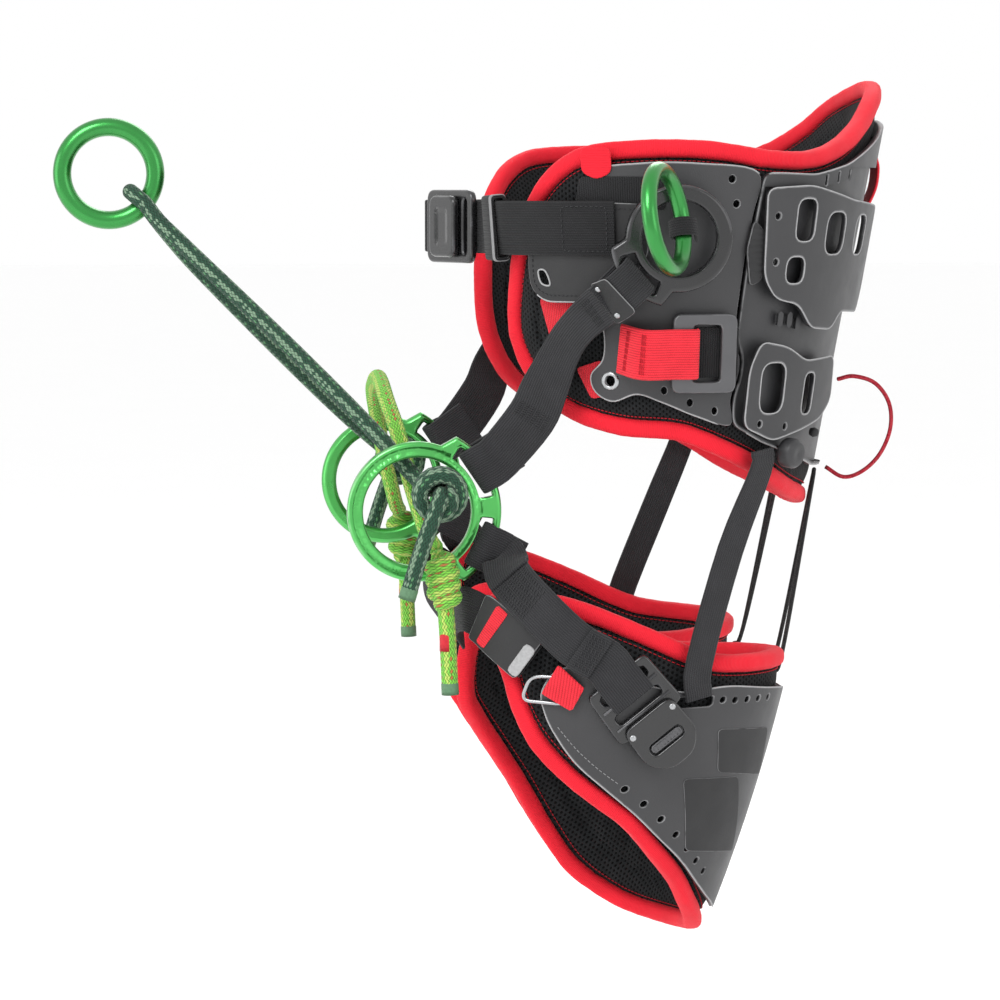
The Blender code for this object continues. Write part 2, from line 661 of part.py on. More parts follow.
def make_adjuster(side, word, looks):
    """The rectangular frame on the hip shell, and the red webbing that is pulled through it."""
    place = belt_at(85.5, -0.029, ADJUSTER_OUT)
    outward = away_from(belt_at, 85.5, -0.029)
    forward = outward.cross(Vector((0, 0, 1))).normalized()
    sheet = flat_surface(place, forward, outward.cross(forward))
    face = on_side(sheet, side)
    outer = rounded([(-0.0215, -0.0260), (0.0215, -0.0260), (0.0215, 0.0260), (-0.0215, 0.0260)], 0.006)
    window = rounded([(-0.0110, -0.0188), (0.0080, -0.0188), (0.0080, 0.0188), (-0.0110, 0.0188)], 0.0025, 2)
    frame = plate(face, outer, [window], -0.0022, 0.0022)
    add(f"adjuster_frame_{word}", frame, looks["grey_metal"], pivot=face(0.0150, 0, 0))
    lift = 0.0022 + GAP + WEB_THICKNESS / 2
    route = [belt_at(108, -0.026, 0.0095), sheet(0.0420, 0.0, lift), sheet(0.0215, 0.0, lift),
             sheet(0.0070, 0.0, lift), sheet(0.0048, 0.0, 0.0)]
    facings = [away_from(belt_at, 108, -0.026), outward, outward, outward, -forward]
    body = ribbon(handed(route, side), handed(facings, side), ADJUSTER_WEB)
    add(f"adjuster_strap_{word}", body, looks["red_webbing"])


# ---- the rope bridge ---------------------------------------------------------------------------------
DARK_ROUTE = [(0.1375, -0.1885, -0.1195), (0.1290, -0.1935, -0.1165), (0.1190, -0.2020, -0.1080),
              (0.1070, -0.2200, -0.0900), (0.0850, -0.2500, -0.0600), (0.0560, -0.2950, -0.0150),
              (0.0290, -0.3400, 0.0300), (0.0165, -0.3640, 0.0560)]
LIGHT_ROUTE = [(0.1405, -0.1860, -0.1580), (0.1300, -0.1890, -0.1530), (0.1180, -0.1930, -0.1400),
               (0.1080, -0.1990, -0.1180), (0.0900, -0.2060, -0.0860), (0.0600, -0.2110, -0.0660),
               (0.0280, -0.2120, -0.0560)]
LIGHT_BIGHT = (0, -0.2120, -0.0530)
BIGHT_ANGLE = -40
BARREL = [(-1.0, 0.45), (-0.8, 0.85), (-0.3, 1.0), (0.3, 1.0), (0.8, 0.8), (1.0, 0.4)]
KNOTS = {
    "dark": dict(centre=(0.1530, -0.184, -0.122), turn=(1, 0, -0.1), radius=0.0195, half_length=0.0130,
                 tail=[(0.1700, -0.190, -0.136), (0.1712, -0.198, -0.158), (0.1700, -0.2075, -0.189)]),
    "light": dict(centre=(0.1535, -0.182, -0.181), turn=(0.05, 0.1, -1), radius=0.0130, half_length=0.0195,
                  tail=[(0.1550, -0.1795, -0.210), (0.1550, -0.1785, -0.230), (0.1550, -0.1775, -0.254)]),
}


def ring_bight():
    """The dark rope's turn round the centre ring, from left to right."""
    centre = Vector(CENTRE_RING_PLACE)
    spoke = Vector((0, cos(radians(BIGHT_ANGLE)), sin(radians(BIGHT_ANGLE))))
    limb = centre + spoke * CENTRE_RING_RADIUS
    reach = CENTRE_WIRE + ROPE_RADIUS + GAP
    return [limb + Vector((cos(radians(a)), 0, 0)) * reach - spoke * sin(radians(a)) * reach
            for a in range(0, 181, 20)]


def slackened(route, by):
    """The route, raised by so much at its middle, and not at all where it leaves the knot."""
    return [Vector(point) + Vector((0, by, by)) * sin(pi * max(0, index - 2) / (len(route) - 3))
            for index, point in enumerate(route)]


def make_bridge(looks):
    """Two ropes between the bridge rings: the dark one holds the centre ring, the light one is a backup."""
    near = smooth(slackened(DARK_ROUTE, 0.0022), 2)
    far = smooth(slackened(DARK_ROUTE, -0.0022), 2)
    dark = [*near, *ring_bight(), *handed(reversed(far), -1)]
    light = smooth([*LIGHT_ROUTE, LIGHT_BIGHT, *handed(reversed(LIGHT_ROUTE), -1)], 2)
    for name, route in (("dark", dark), ("light", light)):
        add_tube(f"bridge_rope_{name}", route, ROPE_RADIUS, looks[f"rope_{name}"])
        for side, word in SIDES:
            make_knot(f"{name}_knot_{word}", KNOTS[name], side, looks[f"rope_{name}"])


def make_knot(name, knot, side, look):
    """A stopper knot's outer shape, with its tail hanging from it, as one tube that swells."""
    centre, turn = Vector(knot["centre"]), Vector(knot["turn"]).normalized()
    barrel = [centre + turn * (knot["half_length"] * share) for share, size in BARREL]
    tail = smooth([barrel[-1], *knot["tail"]], 2)[1:]
    swell = [size * knot["radius"] / TAIL_RADIUS for share, size in BARREL] + [1.0] * len(tail)
    add_tube(name, handed(barrel + tail, side), TAIL_RADIUS, look, swell=swell)


# ---- leg loops ---------------------------------------------------------------------------------------
LEG_OUTLINE = [(137, -0.193), (120, -0.193), (105, -0.200), (88, -0.213), (67, -0.230), (50, -0.236),
               (8, -0.238), (-30, -0.241), (-62, -0.243), (-92, -0.235), (-112, -0.219), (-128, -0.207),
               (-139, -0.215), (-146, -0.240), (-144, -0.268), (-134, -0.288), (-124, -0.306),
               (-110, -0.333), (-93, -0.369), (-78, -0.395), (-60, -0.412), (-42, -0.4205), (-16, -0.423),
               (12, -0.417), (33, -0.4005), (50, -0.378), (64, -0.359), (78, -0.338), (91, -0.3225),
               (104, -0.306), (117, -0.285), (126, -0.262), (132, -0.240), (140, -0.215)]
LEG_SHELL = [(117, -0.250), (115, -0.264), (110.5, -0.278), (102, -0.297), (91, -0.314), (78.5, -0.332),
             (68, -0.348), (55, -0.366), (42, -0.384), (28, -0.398), (8, -0.409), (-14, -0.400),
             (-20, -0.340), (-18, -0.268), (4, -0.260), (34, -0.254), (52, -0.250), (61, -0.250),
             (70, -0.252), (84, -0.246), (100, -0.236), (112, -0.235)]
LEG_OUT = LAYER_GAP
BUCKLE_TURN, BUCKLE_HEIGHT = 88.0, -0.254
BUCKLE_RUN = Vector((-0.03, 0.62, -0.78))


def make_leg_loops(looks):
    """Each leg loop: pad, binding, shell, strap from the bridge ring, buckle and front closure."""
    outline = smooth(on_leg(LEG_OUTLINE), 2, closed=True)
    edge = inset(outline, BINDING_INSET)
    fold = LEG_FOLD * LEG_ARC
    shell_outline = smooth(on_leg(LEG_SHELL), 1, closed=True)
    for side, word in SIDES:
        surface = on_side(leg_surface, side)
        pad = plate(surface, edge, (), -PAD_THICKNESS, 0, fold, LEG_BAND)
        add(f"leg_pad_{word}", pad, looks["mesh"])
        route = [surface(point.x, point.y, -PAD_THICKNESS / 2) for point in outline]
        add_tube(f"leg_binding_{word}", route, BINDING_RADIUS, looks["binding"], closed=True, resolution=1)
        slot = rounded(on_leg([(73, -0.262), (60, -0.262), (60, -0.255), (73, -0.255)]), 0.002, 2)
        shell = plate(surface, shell_outline, [slot], LEG_OUT, LEG_OUT + SHELL_THICKNESS, fold, LEG_BAND)
        add(f"leg_shell_{word}", shell, looks["shell"])
        make_leg_buckle(side, word, looks)
        make_leg_hook(side, word, looks)


def buckle_face():
    """The left leg buckle's own sheet: first way down along the strap."""
    outward = away_from(leg_at, BUCKLE_TURN, BUCKLE_HEIGHT)
    run = (BUCKLE_RUN - outward * BUCKLE_RUN.dot(outward)).normalized()
    place = leg_at(BUCKLE_TURN, BUCKLE_HEIGHT, LEG_OUT + SHELL_THICKNESS + GAP)
    return flat_surface(place, run, outward.cross(run)), outward


def make_leg_buckle(side, word, looks):
    """The leg strap from the bridge ring, and the frame and tongue of the buckle at its end."""
    sheet, outward = buckle_face()
    face = on_side(sheet, side)
    outer = rounded([(-0.020, -0.024), (0.020, -0.026), (0.020, 0.026), (-0.020, 0.024)], 0.005)
    windows = [rounded([(a, -0.018), (a + 0.007, -0.018), (a + 0.007, 0.018), (a, 0.018)], 0.002, 2)
               for a in (-0.0145, 0.0015)]
    add(f"leg_buckle_frame_{word}", plate(face, outer, windows, 0, 0.005), looks["dark_metal"])
    outer = rounded([(0.012, -0.020), (0.040, -0.021), (0.052, -0.010), (0.052, 0.010), (0.040, 0.021),
                     (0.012, 0.020)], 0.008)
    slot = rounded([(0.030, -0.013), (0.038, -0.013), (0.038, 0.013), (0.030, 0.013)], 0.003, 2)
    low = 0.005 + GAP
    add(f"leg_buckle_tongue_{word}", plate(face, outer, [slot], low, low + 0.004), looks["dark_metal"],
        pivot=face(0.014, 0, low))
    start = (*ring_bar(BRIDGE_RING, bridge_face(), BRIDGE_AIM - BRIDGE_SLOT), LEG_WEB)
    lift = 0.005 + GAP + WEB_THICKNESS / 2
    places = [Vector((0.1600, -0.1385, -0.1765)), leg_at(120, -0.194, 0.0140), leg_at(108, -0.217, 0.0130),
              sheet(-0.0330, 0, lift), sheet(-0.0180, 0, lift), sheet(0.0000, 0, lift)]
    facings = [Vector((0.95, -0.35, 0.2)), away_from(leg_at, 120, -0.194), away_from(leg_at, 108, -0.217),
               outward, outward, outward]
    route, facing_route, widths = looped_strap(start, zip(places, facings, [LEG_WEB] * len(places)), None)
    body = ribbon(handed(route, side), handed(facing_route, side), widths)
    add(f"leg_strap_{word}", body, looks["webbing"])


def make_leg_hook(side, word, looks):
    """The strap that closes the loop across the front of the thigh, and the wire hook at its end."""
    turns = [(151, -0.199), (141, -0.204), (133, -0.214), (127, -0.222), (121.5, -0.2295)]
    places = [Vector((0.060, -0.160, -0.222)), Vector((0.095, -0.169, -0.208))]
    places += [leg_at(*turn, 0.006) for turn in turns]
    facings = [Vector((0.1, -1, 0)), Vector((0.2, -1, 0))] + [away_from(leg_at, *turn) for turn in turns]
    add(f"hook_strap_{word}", strap(handed(places, side), handed(facings, side), 0.030, 2), looks["webbing"])
    wire = rounded(on_leg([(121, -0.240), (123, -0.256), (108, -0.258), (110, -0.240)]), 0.006, 3)
    route = [leg_surface(point.x, point.y, 0.0070) for point in wire]
    add_tube(f"wire_hook_{word}", handed(route, side), WIRE_RADIUS, looks["grey_metal"], closed=True)


# ---- what joins the belt and the leg loops behind --------------------------------------------------------
def make_rear(looks):
    """Suspension straps, elastic cords, the knobs that hold them and the red loop that slackens them."""
    for side, word in SIDES:
        places = [belt_at(64.5, -0.094, 0.0085), belt_at(64.5, -0.108, 0.0090),
                  Vector((0.160, 0.008, -0.160)),
                  leg_at(69.0, -0.232, 0.0072), leg_at(66.5, -0.2560, 0.0072)]
        facings = [away_from(belt_at, 64.5, -0.094), away_from(belt_at, 64.5, -0.108), Vector((0.9, 0.35, 0)),
                   away_from(leg_at, 69.0, -0.232), away_from(leg_at, 66.5, -0.256)]
        body = strap(handed(places, side), handed(facings, side), NARROW_WEB, 2)
        add(f"suspension_strap_{word}", body, looks["webbing"])
        cord = smooth([(0.0650, 0.0485, -0.2530), (0.0640, 0.0580, -0.2400), (0.0585, 0.0815, -0.1300),
                       (0.0600, 0.0840, -0.1165), (0.0640, 0.0830, -0.1165), (0.0665, 0.0805, -0.1300),
                       (0.0740, 0.0600, -0.2400), (0.0745, 0.0528, -0.2530)], 2)
        add_tube(f"elastic_cord_{word}", handed(cord, side), ELASTIC_RADIUS, looks["cord"])
        spot = belt_at(54.5, -0.0965, BACK_SHELL_OUT + GAP)
        outward = away_from(belt_at, 54.5, -0.0965)
        knob = turned([(0.0085, 0), (0.0100, 0.002), (0.0100, 0.009), (0.0075, 0.012)],
                      handed([spot], side)[0], handed([outward], side)[0])
        add(f"cord_knob_{word}", knob, looks["shell"], pivot=handed([spot], side)[0])
    loop = smooth([(0.020, 0.1090, -0.0550), (0.021, 0.1200, -0.0530), (0.022, 0.1350, -0.0580),
                   (0.022, 0.1450, -0.0720), (0.022, 0.1460, -0.0900), (0.020, 0.1390, -0.1080),
                   (0.018, 0.1270, -0.1200), (0.016, 0.1140, -0.1240), (0.012, 0.1020, -0.1170)], 2)
    add_tube("pull_loop", loop, ELASTIC_RADIUS, looks["cord_red"])


def main():
    clear_scene()
    looks = make_materials()
    make_belt_padding(looks)
    make_shells(looks)
    make_front(looks)
    make_rings(looks)
    make_hip_straps(looks)
    make_bridge(looks)
    make_leg_loops(looks)
    make_rear(looks)


main()
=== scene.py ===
"""How the tree climbing saddle looks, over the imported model: webbing, padding, shells, rings and ropes.

Metres, +Z up.  -Y is the wearer's front and +X the wearer's left.
"""

from bisect import bisect_right
from math import ceil, cos, floor, hypot, pi, radians, sin

import bmesh
import bpy
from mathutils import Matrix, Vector, kdtree, noise


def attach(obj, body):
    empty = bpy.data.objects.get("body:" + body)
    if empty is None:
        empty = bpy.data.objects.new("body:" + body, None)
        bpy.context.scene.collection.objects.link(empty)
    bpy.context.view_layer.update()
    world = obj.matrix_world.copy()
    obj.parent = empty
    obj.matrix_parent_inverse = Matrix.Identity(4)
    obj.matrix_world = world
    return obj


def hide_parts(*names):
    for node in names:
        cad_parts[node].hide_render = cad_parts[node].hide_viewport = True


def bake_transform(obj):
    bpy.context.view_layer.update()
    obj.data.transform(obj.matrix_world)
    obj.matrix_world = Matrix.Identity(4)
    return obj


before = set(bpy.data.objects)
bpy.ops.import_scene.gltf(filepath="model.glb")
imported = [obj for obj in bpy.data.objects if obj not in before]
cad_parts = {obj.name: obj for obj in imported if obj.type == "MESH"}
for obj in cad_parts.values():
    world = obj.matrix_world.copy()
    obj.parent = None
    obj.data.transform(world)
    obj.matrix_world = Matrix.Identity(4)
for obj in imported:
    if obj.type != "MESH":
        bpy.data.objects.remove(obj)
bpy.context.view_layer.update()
SIDES = ((1, "left"), (-1, "right"))

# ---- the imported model's own measures -------------------------------------------------------------
GAP = 0.0008
BELT_CENTRE_Y, BELT_HALF_WIDTH, BELT_HALF_DEPTH = -0.025, 0.176, 0.1355
BELT_WIDTH_TAPER, BELT_DEPTH_TAPER, BELT_ARC = 0.10, 0.187, 0.0029
LEG_CENTRE_X, LEG_TOP, LEG_HALF_WIDTH, LEG_HALF_DEPTH = 0.095, -0.238, 0.085, 0.118
LEG_WIDTH_TAPER, LEG_DEPTH_TAPER, LEG_BACK_Y = 0.05, 0.06, 0.056
LEG_LEAN, LEG_CURVE, LEG_ARC = 0.22, 0.50, 0.00175
PAD_THICKNESS = 0.012
PAD_FRONT_CAP, PAD_BACK_CAP = 0.0004, 0.0035
STITCH_OUT = -0.0029              # the pad is thinner beside its binding
SHELL_THICKNESS = 0.003
SHELL_OUT = 0.0015
BACK_SHELL_OUT = SHELL_OUT + SHELL_THICKNESS + 0.0012
CARRIER_OUT = BACK_SHELL_OUT + 0.0015
WEB_THICKNESS = 0.0024
ROPE_RADIUS, ELASTIC_RADIUS = 0.0055, 0.0015
BRIDGE_RING = dict(bore=0.0360, outer=0.0465, far=0.0560, thickness=0.0095)
BRIDGE_RING_PLACE = (0.130, -0.197, -0.135)
BRIDGE_AIM, BRIDGE_SLOT = 3, 31
LATERAL_RING = dict(bore=0.0245, outer=0.0350, far=0.0450, thickness=0.009)
LATERAL_TURN, LATERAL_HEIGHT, LATERAL_OUT, LATERAL_AIM = 93.0, 0.046, 0.0170, 222
SLOT_WALL, SLOT_BAR = 0.0060, 0.0050
LOOP_RADIUS, LOOP_SHIFT, LOOP_LEAD, LOOP_TAIL = 0.0078, 0.0012, 0.012, 0.024
CENTRE_RING_PLACE, CENTRE_RING_RADIUS, CENTRE_WIRE = (0.0, -0.397, 0.088), 0.0318, 0.0063
WING_OUT, WING_THICKNESS = SHELL_OUT + SHELL_THICKNESS + GAP, 0.0026
WAIST_STRAP_HEIGHT, WAIST_WEB = 0.052, 0.036
BUCKLE_LOW, BUCKLE_FRAME = WEB_THICKNESS / 2 + GAP, 0.0046
SHELL_FACE, BACK_FACE, CARRIER_FACE = SHELL_OUT + SHELL_THICKNESS, BACK_SHELL_OUT, CARRIER_OUT + 0.004


# ---- curves --------------------------------------------------------------------------------------
def smooth(points, steps, closed=False):
    """Points on the Catmull-Rom curve through the given points, with so many steps on each span."""
    points = [Vector(point) for point in points]
    if closed:
        points = [points[-1], *points, *points[:2]]
    else:
        points = [points[0] * 2 - points[1], *points, points[-1] * 2 - points[-2]]
    result = []
    for before, start, end, after in zip(points, points[1:], points[2:], points[3:]):
        for step in range(steps):
            t = step / steps
            result.append(0.5 * (2 * start + (end - before) * t
                                 + (2 * before - 5 * start + 4 * end - after) * t ** 2
                                 + (3 * start - before - 3 * end + after) * t ** 3))
    return result if closed else [*result, points[-2]]


def rounded(corners, radius, steps=6):
    """A closed outline whose corners are rounded."""
    corners = [Vector(corner) for corner in corners]
    result = []
    for index, corner in enumerate(corners):
        back = corners[index - 1] - corner
        ahead = corners[(index + 1) % len(corners)] - corner
        reach = min(radius, 0.45 * back.length, 0.45 * ahead.length)
        start = corner + back.normalized() * reach
        end = corner + ahead.normalized() * reach
        for step in range(steps + 1):
            t = step / steps
            result.append(start * (1 - t) ** 2 + corner * (2 * t * (1 - t)) + end * t ** 2)
    return result


def block(low, high, radius, steps=6):
    """A rounded rectangle between two corners."""
    return rounded([(low[0], low[1]), (high[0], low[1]), (high[0], high[1]), (low[0], high[1])], radius,
                   steps)


def round_of(centre, first, second, radius, count):
    """Points on a circle round a centre, from the first direction towards the second."""
    turns = [2 * pi * k / count for k in range(count)]
    return [centre + (first * cos(turn) + second * sin(turn)) * radius for turn in turns]


def circle(centre, radius, count=24):
    """A closed round outline."""
    return round_of(Vector(centre), Vector((1, 0)), Vector((0, 1)), radius, count)


def arc(radius, start, end, count):
    """Points on an arc round the origin, from one angle to another in degrees."""
    return [Vector((cos(radians(start + (end - start) * k / count)),
                    sin(radians(start + (end - start) * k / count)))) * radius for k in range(count + 1)]


def lengths(points):
    """How far along a line each of its points is."""
    result = [0.0]
    for low, high in zip(points, points[1:]):
        result.append(result[-1] + (high - low).length)
    return result


def evened(points, spacing, closed=True):
    """The line again, with its points equally far apart."""
    line = [*points, points[0]] if closed else list(points)
    marks = lengths(line)
    count = max(3, ceil(marks[-1] / spacing))
    result = []
    for k in range(count + (0 if closed else 1)):
        mark = marks[-1] * k / count
        index = min(max(bisect_right(marks, mark) - 1, 0), len(line) - 2)
        span = marks[index + 1] - marks[index]
        result.append(line[index].lerp(line[index + 1], (mark - marks[index]) / span if span else 0))
    return result


def area(outline):
    """The outline's area, below 0 if it runs clockwise."""
    return sum(outline[k - 1].x * outline[k].y - outline[k].x * outline[k - 1].y
               for k in range(len(outline))) / 2


def inset(outline, distance):
    """The closed outline moved to its left."""
    result = []
    for index, point in enumerate(outline):
        along = outline[(index + 1) % len(outline)] - outline[index - 1]
        inward = Vector((-along.y, along.x)).normalized()
        result.append(point + inward * distance)
    return result


# ---- surfaces: each takes a place on its sheet and a distance out of it --------------------------
def belt_surface(across, height, out):
    """A place on the belt.  Across is 0 at the wearer's back and positive towards the left side."""
    angle = across / BELT_ARC * pi / 180
    half_width = BELT_HALF_WIDTH + BELT_WIDTH_TAPER * height + out
    half_depth = BELT_HALF_DEPTH + BELT_DEPTH_TAPER * height + out
    return Vector((half_width * sin(angle), BELT_CENTRE_Y + half_depth * cos(angle), height))


def leg_surface(across, height, out):
    """A place on the left leg loop.  Across is 0 at the back and positive towards the outer side."""
    angle = across / LEG_ARC * pi / 180
    drop = LEG_TOP - height
    half_width = LEG_HALF_WIDTH - LEG_WIDTH_TAPER * drop + out
    half_depth = LEG_HALF_DEPTH - LEG_DEPTH_TAPER * drop
    back = LEG_BACK_Y - LEG_LEAN * drop - LEG_CURVE * drop ** 2
    y = back - half_depth + (half_depth + out) * cos(angle)
    return Vector((LEG_CENTRE_X + half_width * sin(angle), y, height))


def flat_surface(origin, along, across):
    """A flat sheet through the origin point, square to both directions' cross product."""
    origin = Vector(origin)
    along = Vector(along).normalized()
    normal = along.cross(Vector(across)).normalized()
    across = normal.cross(along)
    return lambda a, b, out: origin + along * a + across * b + normal * out


def on_belt(places):
    """Belt places given as degrees of turn and metres of height."""
    return [Vector((turn * BELT_ARC, height)) for turn, height in places]


def on_leg(places):
    """Leg loop places given as degrees of turn and metres of height."""
    return [Vector((turn * LEG_ARC, height)) for turn, height in places]


def belt_at(turn, height, out):
    """A point over the belt's left side."""
    return belt_surface(turn * BELT_ARC, height, out)


def leg_at(turn, height, out):
    """A point over the left leg loop."""
    return leg_surface(turn * LEG_ARC, height, out)


def over(surface, line, out):
    """A line of places on a sheet, as points over it."""
    return [surface(point.x, point.y, out) for point in line]


def away_from(surface, turn, height):
    """The way a wrapped surface faces at a place."""
    step = 0.001
    point = surface(turn, height, 0)
    across = surface(turn + step, height, 0) - point
    up = surface(turn, height + step, 0) - point
    normal = across.cross(up).normalized()
    return normal if normal.dot(surface(turn, height, step) - point) > 0 else -normal


# ---- solids --------------------------------------------------------------------------------------
class Solid:
    """Points and faces being put together, with each corner's place on its sheet in metres."""

    def __init__(self):
        self.points, self.rims = [], []
        self.faces, self.places = [], []

    def point(self, place, rim=0.0):
        """Add a point.  Rim is 1 on an edge that wears and 0 away from it."""
        self.points.append(place)
        self.rims.append(rim)
        return len(self.points) - 1

    def face(self, corners, places):
        """Add a face between points."""
        self.faces.append(corners)
        self.places.append(places)

    def rows(self, rows, places, rims=None, flip=False):
        """Add four-sided faces between closed rows of points.  Each row has one more place than points."""
        made = [[self.point(point, rims[index] if rims else 0.0) for point in row]
                for index, row in enumerate(rows)]
        count = len(rows[0])
        for index in range(len(rows) - 1):
            for k in range(count):
                after = (k + 1) % count
                corners = [made[index][k], made[index][after], made[index + 1][after],
                           made[index + 1][k]]
                spots = [places[index][k], places[index][k + 1], places[index + 1][k + 1],
                         places[index + 1][k]]
                self.face(corners[::-1] if flip else corners, spots[::-1] if flip else spots)

    def join(self, other):
        """Add another solid's points and faces to this one."""
        start = len(self.points)
        self.points += other.points
        self.rims += other.rims
        self.faces += [[corner + start for corner in face] for face in other.faces]
        self.places += other.places

    def thing(self, name, look, mirror=False):
        """The solid as an object, or its mirror image on the wearer's right."""
        mesh = bpy.data.meshes.new(name)
        sign = -1 if mirror else 1
        faces = [face[::-1] if mirror else face for face in self.faces]
        places = [spots[::-1] if mirror else spots for spots in self.places]
        mesh.from_pydata([(sign * point.x, point.y, point.z) for point in self.points], [], faces)
        layer = mesh.uv_layers.new(name="UVMap")
        layer.data.foreach_set("uv", [value for spots in places for spot in spots
                                      for value in (spot[0], spot[1])])
        mesh.attributes.new("rim", "FLOAT", "POINT").data.foreach_set("value", self.rims)
        mesh.materials.append(look)
        mesh.shade_smooth()
        made = bpy.data.objects.new(name, mesh)
        bpy.context.scene.collection.objects.link(made)
        return made


def is_left_handed(surface, place):
    """Whether a sheet's across, along and out make a left hand."""
    step = 0.0005
    origin = surface(place[0], place[1], 0)
    across = surface(place[0] + step, place[1], 0) - origin
    along = surface(place[0], place[1] + step, 0) - origin
    return across.cross(along).dot(surface(place[0], place[1], step) - origin) < 0


def fill(loops, pitch):
    """Flat faces between closed loops, cut along a grid."""
    flat = bmesh.new()
    for loop in loops:
        verts = [flat.verts.new((point[0], point[1], 0)) for point in loop]
        for index, vert in enumerate(verts):
            flat.edges.new((verts[index - 1], vert))
    bmesh.ops.triangle_fill(flat, use_beauty=True, edges=flat.edges[:], normal=(0, 0, 1))
    for axis in (0, 1):
        low = min(vert.co[axis] for vert in flat.verts)
        high = max(vert.co[axis] for vert in flat.verts)
        for index in range(floor(low / pitch) + 1, ceil(high / pitch)):
            place, normal = Vector((0, 0, 0)), Vector((0, 0, 0))
            place[axis], normal[axis] = index * pitch, 1
            geometry = flat.verts[:] + flat.edges[:] + flat.faces[:]
            bmesh.ops.bisect_plane(flat, geom=geometry, dist=0.00001, plane_co=place, plane_no=normal)
    bmesh.ops.triangulate(flat, faces=[face for face in flat.faces if len(face.verts) > 4])
    return flat


def plate(surface, outline, holes=(), low=0.0, high=SHELL_THICKNESS, edge=0.0010, back_edge=0.0003,
          hole_edge=None, pitch=0.007, spacing=0.0025, relief=None):
    """A plate on a surface, cut out along an outline, with rounded rims.

    Relief gives how much further out the front is at a place.
    """
    solid = Solid()
    flip = is_left_handed(surface, outline[0])
    fronts, backs = [], []
    for index, loop in enumerate((outline, *holes)):
        loop = evened(loop, min(spacing, 0.4 * abs(area(loop)) ** 0.5))
        if (area(loop) < 0) == (index == 0):
            loop.reverse()
        front = hole_edge if index and hole_edge else edge
        profile = [(back_edge + 0.0006, low), (back_edge, low), (0.0, low + back_edge)]
        profile += [(front * (1 - cos(radians(a))), high - front + front * sin(radians(a)))
                    for a in (0, 22, 45, 67, 90)]
        profile += [(front + 0.0006, high)]
        rims = [0, 0, 0.2, 0.7, 1, 1, 0.8, 0.35, 0]
        rows, spots = [], []
        for distance, out in profile:
            row = inset(loop, distance)
            extra = [relief(*point) if relief and out > high - front / 2 else 0 for point in row]
            rows.append([surface(point.x, point.y, out + more) for point, more in zip(row, extra)])
            spots.append([*row, row[0]])
        solid.rows(rows, spots, rims, flip)
        fronts.append(inset(loop, profile[-1][0]))
        backs.append(inset(loop, profile[0][0]))
    for loops, out, over in ((fronts, high, not flip), (backs, low, flip)):
        flat = fill(loops, pitch)
        made = {}
        for vert in flat.verts:
            more = relief(vert.co.x, vert.co.y) if relief and out == high else 0
            made[vert] = solid.point(surface(vert.co.x, vert.co.y, out + more))
        for face in flat.faces:
            verts = list(face.verts) if (face.normal.z > 0) == over else list(face.verts)[::-1]
            solid.face([made[vert] for vert in verts], [vert.co.xy.copy() for vert in verts])
        flat.free()
    return solid


def patch(surface, places, radius, *levels, **more):
    """A plate without holes whose corners are rounded.  The levels are plate's low, high and edge."""
    return plate(surface, rounded(places, radius), (), *levels, **more)


def joined(first, *others):
    """Several solids as one."""
    for other in others:
        first.join(other)
    return first


def headings(route, closed):
    """The way a route runs at each of its points."""
    count = len(route)
    if closed:
        return [route[(k + 1) % count] - route[k - 1] for k in range(count)]
    return [route[min(k + 1, count - 1)] - route[max(k - 1, 0)] for k in range(count)]


def frames_along(route, facings, closed=False):
    """The across and up directions at each place on a route, from the way its face looks there."""
    acrosses = [(along.cross(facing).normalized(), along)
                for along, facing in zip(headings(route, closed), facings)]
    return [(across, across.cross(along).normalized()) for across, along in acrosses]


def sweep(route, frames, sections, closed=False):
    """A section swept along a route.  Each section is a closed list of across, up and sheet place."""
    solid = Solid()
    marks = lengths([*route, route[0]] if closed else route)
    rows, spots = [], []
    for index, point in enumerate(route):
        across, up = frames[index]
        section = sections[index]
        rows.append([point + across * part[0] + up * part[1] for part in section])
        spots.append([(part[2], marks[index]) for part in section] + [(section[-1][3], marks[index])])
    if closed:
        rows.append(rows[0])
        spots.append([(spot[0], marks[-1]) for spot in spots[0]])
    solid.rows(rows, spots, flip=True)
    if not closed:
        for row, mark, last in ((rows[0], marks[0], False), (rows[-1], marks[-1], True)):
            start = [solid.point(point) for point in row]
            start = start if last else start[::-1]
            solid.face(start, [(0.001 * k, mark) for k in range(len(start))])
    return solid


def round_section(radius, sides=12):
    """A round section whose place on the sheet is the share of a turn."""
    return [(point.x, point.y, k / sides, 1.0) for k, point in enumerate(circle((0, 0), radius, sides))]


def tube(route, radius, sides=12, closed=False, facing=None):
    """A round cord along a route, rounded off where it starts and drawn in where it ends."""
    route = [Vector(point) for point in route]
    count = len(route)
    frames, up = [], None
    for along in headings(route, closed):
        along.normalize()
        if facing or up is None:
            up = Vector(facing) if facing else along.orthogonal()
        up = (up - along * up.dot(along)).normalized()
        frames.append((along.cross(up), up))
    swell = [1.0] * count
    if not closed:
        for end, step in ((0, 1), (count - 1, -1)):
            along = (route[end] - route[end + step]).normalized()
            place, size = route[end], swell[end]
            caps = [(place + along * (radius * size * sin(radians(a)) * 0.7), size * cos(radians(a)))
                    for a in (30, 60, 82)]
            if step == 1:
                route = [cap[0] for cap in reversed(caps)] + route
                swell = [cap[1] for cap in reversed(caps)] + swell
                frames = [frames[0]] * 3 + frames
            else:
                route += [cap[0] for cap in caps]
                swell += [cap[1] for cap in caps]
                frames += [frames[-1]] * 3
    sections = [round_section(radius * size, sides) for size in swell]
    return sweep(route, frames, sections, closed)


def square_to(axis):
    """Two directions square to an axis and to each other."""
    first = axis.orthogonal().normalized()
    return first, axis.cross(first)


